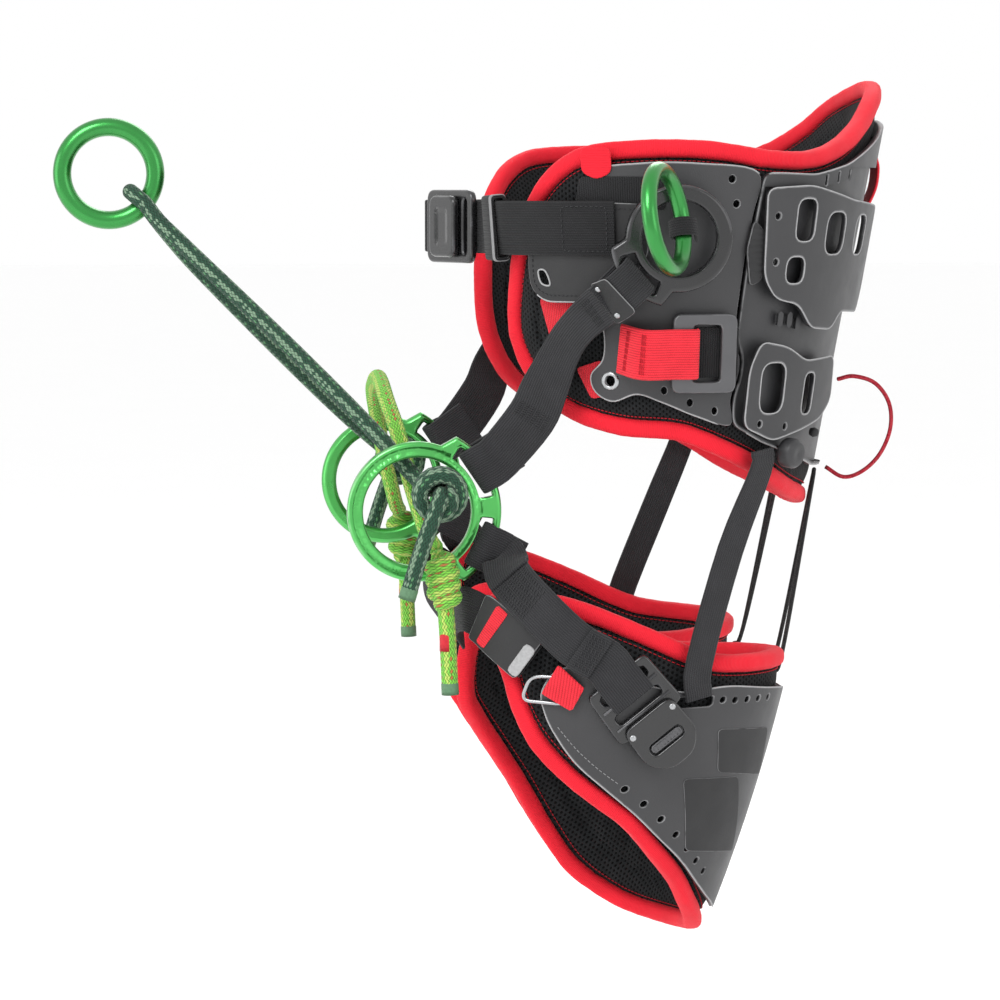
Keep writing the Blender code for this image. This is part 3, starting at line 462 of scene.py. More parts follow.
def torus(centre, axis, radius, wire, segments=72, sides=16):
    """A round ring of round wire."""
    axis = Vector(axis).normalized()
    route = round_of(Vector(centre), *square_to(axis), radius, segments)
    return tube(route, wire, sides, closed=True, facing=axis)


def turned(profile, centre, axis, segments=24):
    """A solid of revolution: the profile gives radius and height along the axis."""
    centre, axis = Vector(centre), Vector(axis).normalized()
    rows = [round_of(centre + axis * height, *square_to(axis), radius, segments)
            for radius, height in profile]
    spots = [[(k / segments * 0.02, height) for k in range(segments + 1)] for radius, height in profile]
    solid = Solid()
    solid.rows(rows, spots)
    return solid


class Strap:
    """Webbing along a route.  Its own sheet is across, along and out from the middle of its thickness."""

    def __init__(self, route, facings, widths, thickness=WEB_THICKNESS, steps=4):
        widths = widths if isinstance(widths, list) else [widths] * len(route)
        self.thickness = thickness
        self.route = smooth(route, steps)
        self.widths = [part.x for part in smooth([(width, 0) for width in widths], steps)]
        self.frames = frames_along(self.route, smooth(facings, steps))
        self.marks = lengths(self.route)
        self.length = self.marks[-1]

    def at(self, across, along, out):
        """A point over the strap."""
        index = min(max(bisect_right(self.marks, along) - 1, 0), len(self.route) - 2)
        t = (along - self.marks[index]) / (self.marks[index + 1] - self.marks[index])
        low, high = self.frames[index], self.frames[index + 1]
        point = self.route[index].lerp(self.route[index + 1], t)
        return point + low[0].lerp(high[0], t) * across + low[1].lerp(high[1], t) * out

    def patch(self, half_width, start, end, radius, low, high, edge=0.0008):
        """A thin plate on the strap, between two lengths along it."""
        outline = block((-half_width, start), (half_width, end), radius)
        return plate(self.at, outline, (), low, high, edge, pitch=0.003)

    def body(self):
        """The webbing itself, with rounded selvages."""
        sections = []
        half = self.thickness / 2
        for width in self.widths:
            flat = width / 2 - half
            section = [(flat * (1 - k / 3), half) for k in range(7)]
            section += [(-flat - half * sin(radians(a)), half * cos(radians(a))) for a in (45, 90, 135)]
            section += [(-flat * (1 - k / 3), -half) for k in range(7)]
            section += [(flat + half * sin(radians(a)), -half * cos(radians(a))) for a in (45, 90, 135)]
            sections.append([(a, b, a, flat) for a, b in section])
        return sweep(self.route, self.frames, sections)


# ---- thread and small metal ----------------------------------------------------------------------
def thread(solid, start, end, up, radius):
    """One stitch, bowed out between the two holes it goes into."""
    along = end - start
    across = along.cross(up).normalized()
    shape = ((0, -1.0, 0.8), (0.12, 0.4, 1.0), (0.5, 0.9, 1.0), (0.88, 0.4, 1.0), (1, -1.0, 0.8))
    rows = [round_of(start + along * share + up * (lift * radius), across, up, radius * size, 5)
            for share, lift, size in shape]
    solid.rows(rows, [[(0, 0)] * 6] * 5, flip=True)


def sewn(surface, line, out, closed=False, pitch=0.0034, radius=0.00035):
    """A row of stitches along a line on a sheet."""
    solid = Solid()
    places = evened([Vector(point) for point in line], pitch, closed)
    if closed:
        places.append(places[0])
    for low, high in zip(places, places[1:]):
        middle = low.lerp(high, 0.5)
        start, end = (surface(*low.lerp(high, share).xy, out) for share in (0.14, 0.86))
        up = (surface(middle.x, middle.y, out + 0.001) - surface(middle.x, middle.y, out)).normalized()
        thread(solid, start, end, up, radius)
    return solid


def tack(surface, centre, width, length, out, rows=8, radius=0.00032):
    """A bar tack: a dense block of threads across a strap."""
    solid = Solid()
    for k in range(rows):
        along = centre[1] + length * (k / (rows - 1) - 0.5)
        count = max(1, round(width / 0.004))
        for part in range(count):
            low = centre[0] - width / 2 + width * part / count
            high = low + width / count * 0.96
            start, end = surface(low, along, out), surface(high, along + length / rows * 0.5, out)
            up = (surface(low, along, out + 0.001) - start).normalized()
            thread(solid, start, end, up, radius)
    return solid


def rivet(point, axis, radius, height):
    """A domed rivet head."""
    profile = [(radius, -0.0004), (radius, height * 0.25), (radius * 0.93, height * 0.55),
               (radius * 0.7, height * 0.85), (radius * 0.35, height * 0.98), (0.00001, height)]
    return turned(profile, point, axis, 20)


def eyelet(point, axis, bore, rim, height):
    """A rolled metal eyelet."""
    profile = [(bore, -0.0015), (bore, height * 0.5), (bore + (rim - bore) * 0.25, height * 0.9),
               (bore + (rim - bore) * 0.55, height), (bore + (rim - bore) * 0.85, height * 0.7),
               (rim, 0)]
    return turned(profile, point, axis, 28)


# ---- looks ---------------------------------------------------------------------------------------
class Nodes:
    """A Principled material being put together from nodes."""

    def __init__(self, name, roughness=0.6, metallic=0.0, **sockets):
        self.material = bpy.data.materials.new(name)
        self.material.use_nodes = True
        self.tree = self.material.node_tree
        self.shader = self.tree.nodes["Principled BSDF"]
        self.shader.inputs["Roughness"].default_value = roughness
        self.shader.inputs["Metallic"].default_value = metallic
        for socket, value in sockets.items():
            self.shader.inputs[socket.replace("_", " ")].default_value = value

    def node(self, kind, values, **settings):
        """A node, whose inputs are numbers, colours or other nodes' outputs."""
        made = self.tree.nodes.new(kind)
        for name, value in settings.items():
            setattr(made, name, value)
        for socket, value in values.items():
            if isinstance(value, bpy.types.NodeSocket):
                self.tree.links.new(value, made.inputs[socket])
            else:
                made.inputs[socket].default_value = value
        return made

    def sum(self, operation, first, second=0.0, third=0.0):
        """One step of arithmetic."""
        return self.node("ShaderNodeMath", {0: first, 1: second, 2: third},
                         operation=operation).outputs[0]

    def sheet(self):
        """The place on the piece's sheet, across and along, in metres."""
        spot = self.node("ShaderNodeUVMap", {}, uv_map="UVMap").outputs[0]
        parts = self.node("ShaderNodeSeparateXYZ", {0: spot})
        return parts.outputs[0], parts.outputs[1]

    def grain(self, scale, detail=2.0, spot=None):
        """Soft noise from 0 to 1, in the object's own space."""
        spot = spot or self.node("ShaderNodeTexCoord", {}).outputs["Object"]
        return self.node("ShaderNodeTexNoise", {"Vector": spot, "Scale": scale,
                                                "Detail": detail}).outputs[0]

    def ramp(self, value, low, high):
        """The value from low to high as 0 to 1, held at both ends."""
        return self.node("ShaderNodeMapRange", {"Value": value, "From Min": low, "From Max": high},
                         interpolation_type="SMOOTHSTEP").outputs[0]

    def mix(self, share, first, second):
        """A colour between two colours."""
        first, second = (colour if isinstance(colour, bpy.types.NodeSocket) else (*colour, 1)
                         for colour in (first, second))
        return self.node("ShaderNodeMix", {0: share, 6: first, 7: second}, data_type="RGBA").outputs[2]

    def wave(self, value, length):
        """Ribs of that length, from 0 to 1."""
        turns = self.sum("MULTIPLY", value, pi / length)
        return self.sum("ABSOLUTE", self.sum("SINE", turns))

    def rim(self):
        """How near a worn edge is, from 0 to 1."""
        return self.node("ShaderNodeAttribute", {}, attribute_name="rim").outputs["Fac"]

    def finish(self, colour, height=None, distance=0.0005, roughness=None):
        """Join colour, bump and roughness to the shader."""
        self.tree.links.new(colour, self.shader.inputs["Base Color"])
        if roughness is not None:
            self.tree.links.new(roughness, self.shader.inputs["Roughness"])
        if height is not None:
            bump = self.node("ShaderNodeBump", {"Height": height, "Distance": distance, "Strength": 1.0})
            self.tree.links.new(bump.outputs[0], self.shader.inputs["Normal"])
        return self.material


def shade(colour, by):
    """A lighter or darker colour."""
    return tuple(min(1.0, part * by) for part in colour)


def webbing(name, colour, column=0.0016, pick=0.0013):
    """Woven webbing: columns of yarn along it, each pick under and over its neighbours."""
    n = Nodes(name, 0.8, Sheen_Weight=0.08, Sheen_Roughness=0.5, Specular_IOR_Level=0.22)
    across, along = n.sheet()
    number = n.sum("FLOOR", n.sum("DIVIDE", across, column))
    crown = n.wave(across, column)
    picks = n.wave(n.sum("ADD", along, n.sum("MULTIPLY", number, pick * 0.5)), pick)
    height = n.sum("MULTIPLY", crown, n.sum("MULTIPLY_ADD", picks, 0.5, 0.5))
    # Colour lighter on the yarn crowns and darker in the hollows between them: painted shade in the weave,
    # mixed with random tone.
    share = n.sum("MULTIPLY_ADD", n.grain(70, 4), 0.5, n.sum("MULTIPLY", height, 0.6))
    return n.finish(n.mix(share, shade(colour, 0.45), shade(colour, 1.6)), height, 0.0005)


def tape(name, colour):
    """Folded binding tape: fine ribs across it, painted lighter on their crowns and darker between them as
    painted shade, with random tone.
    """
    n = Nodes(name, 0.7, Sheen_Weight=0.08, Sheen_Roughness=0.4, Specular_IOR_Level=0.2)
    ribs = n.wave(n.sheet()[1], 0.0011)
    share = n.sum("MULTIPLY_ADD", ribs, 0.35, n.sum("MULTIPLY", n.grain(45, 3), 0.7))
    height = n.sum("MULTIPLY_ADD", n.grain(140, 3), 1.6, ribs)
    return n.finish(n.mix(share, shade(colour, 0.7), shade(colour, 1.15)), height, 0.00022)


def spacer_mesh(name, colour):
    """Open mesh over foam: a honeycomb of small holes between knitted threads."""
    n = Nodes(name, 0.9, Sheen_Weight=0.05, Specular_IOR_Level=0.12)
    across, along = n.sheet()
    pitch = 0.0030
    turns = []
    for a, b in ((1, 0), (0.5, 0.866), (-0.5, 0.866)):
        place = n.sum("MULTIPLY_ADD", across, a, n.sum("MULTIPLY", along, b))
        turns.append(n.sum("COSINE", n.sum("MULTIPLY", place, 2 * pi / pitch)))
    total = n.sum("ADD", turns[0], n.sum("ADD", turns[1], turns[2]))
    cover = n.ramp(total, 1.1, -0.1)
    # The holes are painted nearly black as painted shade inside them; the threads between get random tone.
    share = n.sum("MULTIPLY", cover, n.sum("MULTIPLY_ADD", n.grain(90, 3), 0.8, 0.4))
    return n.finish(n.mix(share, shade(colour, 0.12), shade(colour, 1.3)), cover, 0.0008)


def moulded(name, colour, roughness=0.5, wear_and_shade=(0.20, 0.20, 0.205)):
    """Moulded plastic with a fine leather grain and edges rubbed pale."""
    n = Nodes(name, roughness, Specular_IOR_Level=0.5)
    base = n.mix(n.grain(22, 3), shade(colour, 0.8), shade(colour, 1.25))
    rub = n.sum("MULTIPLY", n.ramp(n.rim(), 0.5, 1.0), n.ramp(n.grain(90, 3), 0.30, 0.55))
    rough = n.sum("MULTIPLY_ADD", n.grain(60, 4), 0.22, roughness - 0.1)
    return n.finish(n.mix(rub, base, wear_and_shade), n.grain(1500, 3), 0.00012, roughness=rough)


def metal(name, colour, roughness, wear_and_shade, metallic=1.0, **sockets):
    """Anodised or plain metal with fine handling marks."""
    n = Nodes(name, roughness, metallic, **sockets)
    base = n.mix(n.grain(35, 4), shade(colour, 0.8), shade(colour, 1.15))
    rub = n.sum("MULTIPLY", n.ramp(n.rim(), 0.6, 1.0),
                n.sum("MULTIPLY", n.ramp(n.grain(60, 4), 0.45, 0.65), 0.4))
    rough = n.sum("MULTIPLY_ADD", n.grain(120, 4), 0.2, roughness - 0.07)
    return n.finish(n.mix(rub, base, wear_and_shade), n.grain(900, 4), 0.00003, roughness=rough)


def braid(name, colour, stripe, tracer, stripes=4, strands=16, lay=0.0042, depth=0.0006):
    """A braided sheath: strands that wind opposite ways and pass over each other, in lengthwise stripes."""
    n = Nodes(name, 0.8, Sheen_Weight=0.1, Sheen_Roughness=0.5, Specular_IOR_Level=0.25)
    around, along = n.sheet()
    turns = n.sum("MULTIPLY", around, strands)
    length = n.sum("DIVIDE", along, lay)
    one, two = n.sum("ADD", turns, length), n.sum("SUBTRACT", turns, length)
    low_one, low_two = n.sum("FLOOR", one), n.sum("FLOOR", two)
    column = n.sum("ADD", low_one, low_two)
    odd = n.sum("MODULO", n.sum("ADD", column, 4096), 2)
    crowns = [n.sum("ABSOLUTE", n.sum("SINE", n.sum("MULTIPLY", part, pi))) for part in (one, two)]
    height = n.sum("ADD", n.sum("MULTIPLY", crowns[0], n.sum("SUBTRACT", 1, odd)),
                   n.sum("MULTIPLY", crowns[1], odd))
    cell = n.node("ShaderNodeCombineXYZ", {0: low_one, 1: low_two}).outputs[0]
    chance = n.node("ShaderNodeTexWhiteNoise", {0: cell}, noise_dimensions="3D").outputs[0]
    period = 2 * strands // stripes
    spot = n.sum("MODULO", n.sum("ADD", column, 4096), period)
    pale = n.sum("MULTIPLY", n.sum("LESS_THAN", spot, 2.5), n.sum("LESS_THAN", chance, 0.8))
    marked = n.sum("MULTIPLY", n.sum("COMPARE", spot, period / 2, 0.6), n.sum("LESS_THAN", chance, 0.35))
    # Strand crowns lighter and the grooves between strands much darker: painted shade in the braid, with
    # random tone.
    wear_and_shade = n.sum("MULTIPLY_ADD", height, 0.8, n.sum("MULTIPLY", n.grain(300, 3), 0.3))
    coloured = n.mix(pale, colour, stripe)
    coloured = n.mix(marked, coloured, tracer)
    dark = n.node("ShaderNodeMix",
                  {0: 1.0, 6: coloured, 7: n.mix(wear_and_shade, (0.25, 0.25, 0.25), (1.2, 1.2, 1.2))},
                  data_type="RGBA", blend_type="MULTIPLY").outputs[2]
    return n.finish(dark, height, depth)


def plain(name, colour, roughness=0.6):
    """Thread or a whipping, with a little unevenness."""
    n = Nodes(name, roughness, Specular_IOR_Level=0.25)
    grain = n.grain(600, 3)
    return n.finish(n.mix(grain, shade(colour, 0.7), shade(colour, 1.3)), grain, 0.00015)


RED = (0.76, 0.012, 0.028)
GREEN_COAT = dict(Coat_Weight=0.5, Coat_Roughness=0.12)
LOOKS = {
    "mesh": spacer_mesh("spacer_mesh", (0.014, 0.015, 0.016)),
    "binding": tape("binding_tape", RED),
    "shell": moulded("moulded_shell", (0.030, 0.030, 0.032), 0.42),
    "patch": moulded("moulded_patch", (0.013, 0.013, 0.014), 0.6),
    "webbing": webbing("webbing_dark", (0.024, 0.024, 0.026)),
    "black_web": webbing("webbing_black", (0.013, 0.013, 0.014)),
    "red_webbing": webbing("webbing_red", (0.80, 0.022, 0.036)),
    "green": metal("anodised_green", (0.032, 0.27, 0.050), 0.28, (0.35, 0.6, 0.35), 0.9, **GREEN_COAT),
    # A lighter copy of the green anodise for the bridge rings: painted light, for their brighter-lit faces.
    "lit_green": metal("anodised_green_lit_copy", (0.085, 0.46, 0.100), 0.28, (0.35, 0.6, 0.35), 0.9,
                        **GREEN_COAT),
    "dark_metal": metal("anodised_black", (0.012, 0.012, 0.013), 0.22, (0.10, 0.10, 0.11), 0.3,
                        Coat_Weight=0.6, Coat_Roughness=0.15),
    "grey_metal": metal("steel_grey", (0.11, 0.11, 0.115), 0.42, (0.30, 0.30, 0.31), 0.7),
    "bright": metal("steel_bright", (0.42, 0.43, 0.44), 0.30, (0.8, 0.8, 0.8)),
    "rope_dark": braid("rope_dark", (0.020, 0.066, 0.038), (0.17, 0.27, 0.18), (0.08, 0.22, 0.10)),
    "rope_light": braid("rope_lime", (0.19, 0.54, 0.065), (0.44, 0.61, 0.12), (0.42, 0.16, 0.05)),
    "cord": braid("cord_black", (0.012, 0.012, 0.014), (0.03, 0.03, 0.03), (0.02, 0.02, 0.02), 4, 8,
                  0.0016, 0.0002),
    "cord_red": braid("cord_red", (0.45, 0.008, 0.03), (0.6, 0.04, 0.06), (0.3, 0.01, 0.02), 4, 8,
                      0.0016, 0.0002),
    "dark_thread": plain("thread_dark", (0.030, 0.030, 0.032)),
    "red_thread": plain("thread_red", (0.42, 0.008, 0.018)),
    "grey_thread": plain("thread_grey", (0.22, 0.22, 0.225)),
    "rubbed": plain("rubbed_edge", (0.34, 0.34, 0.345)),
    "whipping": plain("whipping_green", (0.10, 0.20, 0.11), 0.45),
    "band": plain("whipping_red", (0.50, 0.02, 0.03), 0.5),
}


# ---- pieces --------------------------------------------------------------------------------------
def piece(name, solid, look, body, nodes=(), mirror=False):
    """Make the solid a piece that rides on a body, in place of the nodes it stands for."""
    made = solid.thing(name, LOOKS[look], mirror)
    if body:
        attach(made, body)
    if nodes:
        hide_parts(*nodes)
    return made


def pair(name, solid, look, body, nodes=()):
    """The piece on the left and its mirror image on the right.  A star stands for the side's name."""
    return [piece(f"{name}_{word}", solid, look, body.replace("*", word) if body else None,
                  [node.replace("*", word) for node in nodes], mirror=side < 0)
            for side, word in SIDES]


def bend(pieces, first, second, start, end):
    """Each of a pair of pieces, its placing baked into its mesh."""
    for made, (side, word) in zip(pieces, SIDES):
        places = handed((start, end), side)
        first.replace("*", word)
        second.replace("*", word)
        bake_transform(made)


def handed(points, side):
    """The points of the left side, or their mirror image."""
    return [Vector((side * point[0], point[1], point[2])) for point in points]


# ---- camera, light and floor ---------------------------------------------------------------------
FLOOR_REACH, FLOOR_HEIGHT = 30, -0.62


def make_camera():
    """The camera at the photograph's viewing angle."""
    camera = bpy.data.objects.new("camera", bpy.data.cameras.new("camera"))
    bpy.context.scene.collection.objects.link(camera)
    camera.location = (2.4745, -0.4089, 0.0785)
    target = Vector((0, -0.1269, -0.1394))
    camera.rotation_mode = "QUATERNION"
    camera.rotation_quaternion = (target - camera.location).to_track_quat("-Z", "Y")
    camera.data.lens = 128.57
    camera.data.sensor_width = 36
    bpy.context.scene.camera = camera


def make_light(name, place, target, size, power):
    """A soft square light."""
    data = bpy.data.lights.new(name, "AREA")
    data.shape = "SQUARE"
    data.size = size
    data.energy = power
    light = bpy.data.objects.new(name, data)
    light.location = place
    light.rotation_mode = "QUATERNION"
    light.rotation_quaternion = (Vector(target) - Vector(place)).to_track_quat("-Z", "Y")
    bpy.context.scene.collection.objects.link(light)


def make_stage():
    """A white room: pale floor, white world and soft lights."""
    world = bpy.data.worlds.new("world")
    world.use_nodes = True
    background = world.node_tree.nodes["Background"]
    background.inputs["Color"].default_value = (1, 1, 1, 1)
    background.inputs["Strength"].default_value = 1.0
    bpy.context.scene.world = world
    mesh = bpy.data.meshes.new("floor")
    corners = [(x * FLOOR_REACH, y * FLOOR_REACH, FLOOR_HEIGHT)
               for x, y in ((-1, -1), (1, -1), (1, 1), (-1, 1))]
    mesh.from_pydata(corners, [], [(0, 1, 2, 3)])
    n = Nodes("floor", 0.9)
    mesh.materials.append(n.finish(n.mix(n.grain(3), (0.98, 0.98, 0.98), (0.99, 0.99, 0.99))))
    ground = bpy.data.objects.new("floor", mesh)
    bpy.context.scene.collection.objects.link(ground)
    bpy.context.scene.view_settings.view_transform = "Standard"
    middle = (0, -0.1, -0.1)
    make_light("key", (1.9, -1.3, 1.7), middle, 1.1, 36)
    make_light("fill", (2.0, 1.6, 0.5), middle, 1.4, 9)
    make_light("back", (-1.8, 0.4, 1.4), middle, 1.2, 12)
    make_light("front", (0.3, -2.3, 0.2), middle, 1.3, 9)


# ---- padding -------------------------------------------------------------------------------------
def tree_of(line):
    """The line's points, ready for finding the nearest of them."""
    tree = kdtree.KDTree(len(line))
    for index, point in enumerate(line):
        tree.insert((point.x, point.y, 0), index)
    tree.balance()
    return tree


def padding(name, surface, outline, channels):
    """A padded panel: two sheets joined at the rim, swollen by a short cloth simulation, then sewn down."""
    if area(outline) < 0:
        outline = outline[::-1]
    outline = evened(inset(outline, 0.0045), 0.004)
    tree = tree_of(outline)
    flat = fill([outline], 0.005)
    flip = is_left_handed(surface, (0.001, outline[0].y))
    spots = [vert.co.copy() for vert in flat.verts]
    deep = [tree.find(spot)[2] for spot in spots]
    on_rim = [vert.is_boundary for vert in flat.verts]
    number = {vert: index for index, vert in enumerate(flat.verts)}
    middle, half = -PAD_THICKNESS / 2, PAD_THICKNESS / 2 - 0.0012
    outs = []
    for side in (1, -1):
        for depth, rim in zip(deep, on_rim):
            swell = 1 - (1 - min(1, depth / 0.016)) ** 2
            outs.append(middle if rim else middle + side * half * (0.30 + 0.70 * swell))
    index_of = {}
    points = []
    for half_index in (0, 1):
        for index, spot in enumerate(spots):
            if half_index and on_rim[index]:
                index_of[1, index] = index_of[0, index]
                continue
            index_of[half_index, index] = len(points)
            points.append((index, half_index, outs[half_index * len(spots) + index]))
    mesh = bpy.data.meshes.new(name)
    faces, places = [], []
    for half_index in (0, 1):
        for face in flat.faces:
            order = [number[vert] for vert in face.verts]
            if ((face.normal.z > 0) != flip) == (half_index == 1):
                order.reverse()
            faces.append([index_of[half_index, index] for index in order])
            places.append([spots[index].xy for index in order])
    flat.free()
    solid = Solid()
    rest = [surface(*spots[index].xy, out) for index, half_index, out in points]
    moved = rest
    mesh.from_pydata(rest, [], faces)
    moved = swollen(mesh, [on_rim[index] for index, half_index, out in points])
    for (index, half_index, out), place in zip(points, moved):
        spot = spots[index]
        outward = (surface(spot.x, spot.y, 0.001) - surface(spot.x, spot.y, 0)).normalized()
        lift = (place - surface(spot.x, spot.y, out)).dot(outward)
        final = out + lift * min(1, deep[index] / 0.012) ** 2
        if half_index == 0:
            final = min(final, PAD_FRONT_CAP)
        else:
            final = max(final, -PAD_THICKNESS - PAD_BACK_CAP)
        if not on_rim[index]:
            for line in channels:
                away = line(spot.x, spot.y) / 0.004
                final += (middle - final) * 0.55 * max(0.0, 1 - away * away) ** 2
        solid.point(surface(spot.x, spot.y, final))
    for face, spot in zip(faces, places):
        solid.face(face, spot)
    return solid


def swollen(mesh, pinned):
    """Where the mesh's points go when it is blown up with its pinned points held."""
    trial = bpy.data.objects.new("cloth_trial", mesh)
    bpy.context.scene.collection.objects.link(trial)
    group = trial.vertex_groups.new(name="pinned")
    group.add([index for index, held in enumerate(pinned) if held], 1.0, "REPLACE")
    cloth = trial.modifiers.new("cloth", "CLOTH")
    settings = cloth.settings
    settings.vertex_group_mass = "pinned"
    settings.use_pressure = True
    settings.uniform_pressure_force = 4
    settings.effector_weights.gravity = 0
    settings.quality = 4
    settings.tension_stiffness = 20
    settings.compression_stiffness = 20
    settings.bending_stiffness = 2
    cloth.collision_settings.use_collision = False
    for number in range(1, 21):
        bpy.context.scene.frame_set(number)
    result = trial.evaluated_get(bpy.context.evaluated_depsgraph_get()).to_mesh()
    places = [vert.co.copy() for vert in result.vertices]
    trial.to_mesh_clear()
    bpy.data.objects.remove(trial, do_unlink=True)
    bpy.context.scene.frame_set(1)
    return places


def binding(surface, outline, half_width=0.0060, half_height=0.0061):
    """Tape folded over the pad's edge, with small puckers along it."""
    outline = evened(outline, 0.003)
    route = over(surface, outline, -PAD_THICKNESS / 2)
    facings = [surface(point.x, point.y, 0) - surface(point.x, point.y, -0.001) for point in outline]
    frames = frames_along(route, facings, closed=True)
    sections = []
    for point in route:
        ripple = 1 + 0.045 * noise.noise(point * 95) + 0.03 * noise.noise(point * 260)
        section = []
        for k in range(20):
            a = 2 * pi * k / 20
            reach = (abs(cos(a)) ** 2.8 + abs(sin(a)) ** 2.8) ** (-1 / 2.8) * ripple
            section.append((cos(a) * reach * half_width, sin(a) * reach * half_height, k / 20 * 0.036,
                            0.036))
        sections.append(section)
    return sweep(route, frames, sections, closed=True)


def edge_line(outline, distance):
    """The outline moved inwards, for stitches or a sewn channel."""
    outline = evened(outline if area(outline) > 0 else outline[::-1], 0.004)
    return inset(outline, distance)


def binding_stitches(surface, outline):
    """The stitches beside the binding, on the pad's front and on its back."""
    line = edge_line(outline, 0.0078)
    return joined(*[sewn(surface, line, out, closed=True)
                    for out in (STITCH_OUT, -PAD_THICKNESS - STITCH_OUT)])


def near(line):
    """A measure of how far a place is from a line, both in metres on the sheet."""
    line = evened([Vector(point) for point in line], 0.002, closed=False)
    tree = tree_of(line)
    return lambda a, b: tree.find((a, b, 0))[2]


BELT_HALF = [(0, -0.136), (38, -0.125), (62, -0.105), (78, -0.091), (92, -0.081), (110, -0.078),
             (127, -0.067), (138, -0.046), (143, -0.018), (140, 0.018), (135, 0.050), (127, 0.080),
             (117, 0.098), (104, 0.103), (86, 0.103), (68, 0.097), (54, 0.097), (42, 0.105), (30, 0.120),
             (18, 0.138), (0, 0.147)]
LEG_OUTLINE = [(137, -0.193), (120, -0.193), (105, -0.200), (88, -0.213), (67, -0.230), (50, -0.236),
               (8, -0.238), (-30, -0.241), (-62, -0.243), (-92, -0.235), (-112, -0.219), (-128, -0.207),
               (-139, -0.215), (-146, -0.240), (-144, -0.268), (-134, -0.288), (-124, -0.306),
               (-110, -0.333), (-93, -0.369), (-78, -0.395), (-60, -0.412), (-42, -0.4205),
               (-16, -0.423), (12, -0.417), (33, -0.4005), (50, -0.378), (64, -0.359), (78, -0.338),
               (91, -0.3225), (104, -0.306), (117, -0.285), (126, -0.262), (132, -0.240), (140, -0.215)]


def mirrored_outline(half):
    """The whole outline of which half is given, from the middle of the bottom to the middle of the top."""
    left = half[1:-1]
    return [half[0], *left, half[-1], *[(-turn, height) for turn, height in reversed(left)]]


def make_belt_padding():
    """The wrap-around pad and the red binding round its edge."""
    outline = smooth(on_belt(mirrored_outline(BELT_HALF)), 6, closed=True)
    channels = [near(edge_line(outline, 0.026))]
    for turn in (-110, -66, -22, 22, 66, 110):
        channels.append(near(on_belt([(turn, -0.060), (turn, 0.075)])))
    solid = padding("belt_pad_form", belt_surface, outline, channels)
    made = piece("padded_belt", solid, "mesh", "harness", ["belt_pad"])
    piece("folded_belt_binding", binding(belt_surface, outline), "binding", "harness", ["belt_binding"])
    stitches = binding_stitches(belt_surface, outline)
    piece("belt_binding_stitches", stitches, "red_thread", "harness")


def make_leg_padding():
    """Each leg loop's pad and binding."""
    outline = smooth(on_leg(LEG_OUTLINE), 6, closed=True)
    channels = [near(edge_line(outline, 0.022)), near(on_leg([(-60, -0.30), (80, -0.30)]))]
    solid = padding("leg_pad_form", leg_surface, outline, channels)
    for made in pair("padded_leg", solid, "mesh", "*_leg_loop", ["leg_pad_*"]):
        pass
    pair("folded_leg_binding", binding(leg_surface, outline), "binding", "*_leg_loop", ["leg_binding_*"])
    stitches = binding_stitches(leg_surface, outline)
    pair("leg_binding_stitches", stitches, "red_thread", "*_leg_loop")


# ---- shells --------------------------------------------------------------------------------------
HIP_SHELL = [(113, 0.088), (116, 0.060), (118, 0.025), (113, -0.008), (113, -0.032), (117, -0.044),
             (116, -0.055), (111, -0.061), (104, -0.056), (97, -0.061), (86, -0.071), (75.6, -0.077),
             (76.1, -0.060), (74.1, -0.044), (74.1, -0.032), (76.1, -0.020), (74.8, 0.030),
             (73.3, 0.060), (72.6, 0.088), (88, 0.094), (102, 0.094)]
BACK_SHELL_EDGE = [(66, 0.088), (71, 0.088), (74, 0.030), (75.5, -0.020), (73.5, -0.032), (73.5, -0.044),
                   (75.5, -0.060), (75, -0.077), (64, -0.089), (50, -0.099), (34, -0.109)]
BACK_SHELL_TOP = [(0, 0.126), (16, 0.120), (30, 0.106), (42, 0.094), (55, 0.087)]
UPPER_CARRIER = [(71, 0.078), (70, 0.020), (66, 0.006), (58, 0.002), (52, -0.014), (42, -0.016),
                 (38, -0.004), (22, -0.006), (18, 0.010), (20, 0.066), (40, 0.070), (58, 0.080)]
# Each slot's turn, height, width and length.
UPPER_SLOTS = [(58.6, 0.0573, 0.0185, 0.0285), (46.8, 0.0484, 0.0240, 0.0285),
               (33.0, 0.0470, 0.0220, 0.0270), (60.5, 0.0245, 0.0180, 0.0180)]
LOWER_CARRIER = [(69, -0.022), (72, -0.040), (72.5, -0.078), (62, -0.088), (50, -0.082), (40, -0.076),
                 (34, -0.064), (37, -0.034), (52, -0.036), (60, -0.026)]
LOWER_SLOTS = [(63.8, -0.0530, 0.0250, 0.0340), (49.0, -0.0580, 0.0140, 0.0280)]
CARRIERS = [("upper", UPPER_CARRIER, UPPER_SLOTS, [(67.5, 0.0600), (67.0, 0.0300)]),
            ("lower", LOWER_CARRIER, LOWER_SLOTS, [(67.2, -0.0765), (57.5, -0.0790)])]


def slot_outline(turn, height, width, length):
    """A rounded upright slot on the belt, its width and length in metres."""
    a, b = turn * BELT_ARC, height
    return block((a - width / 2, b - length / 2), (a + width / 2, b + length / 2), width * 0.4)


def belt_holes(places, radius):
    """Round holes on the belt."""
    return [circle((turn * BELT_ARC, height), radius, 16) for turn, height in places]


def rubbed_edge(surface, line, out, radius=0.0005, sides=6, closed=False):
    """A thin bead that shows how a plate's edge has rubbed pale."""
    return tube(over(surface, line, out), radius, sides, closed)


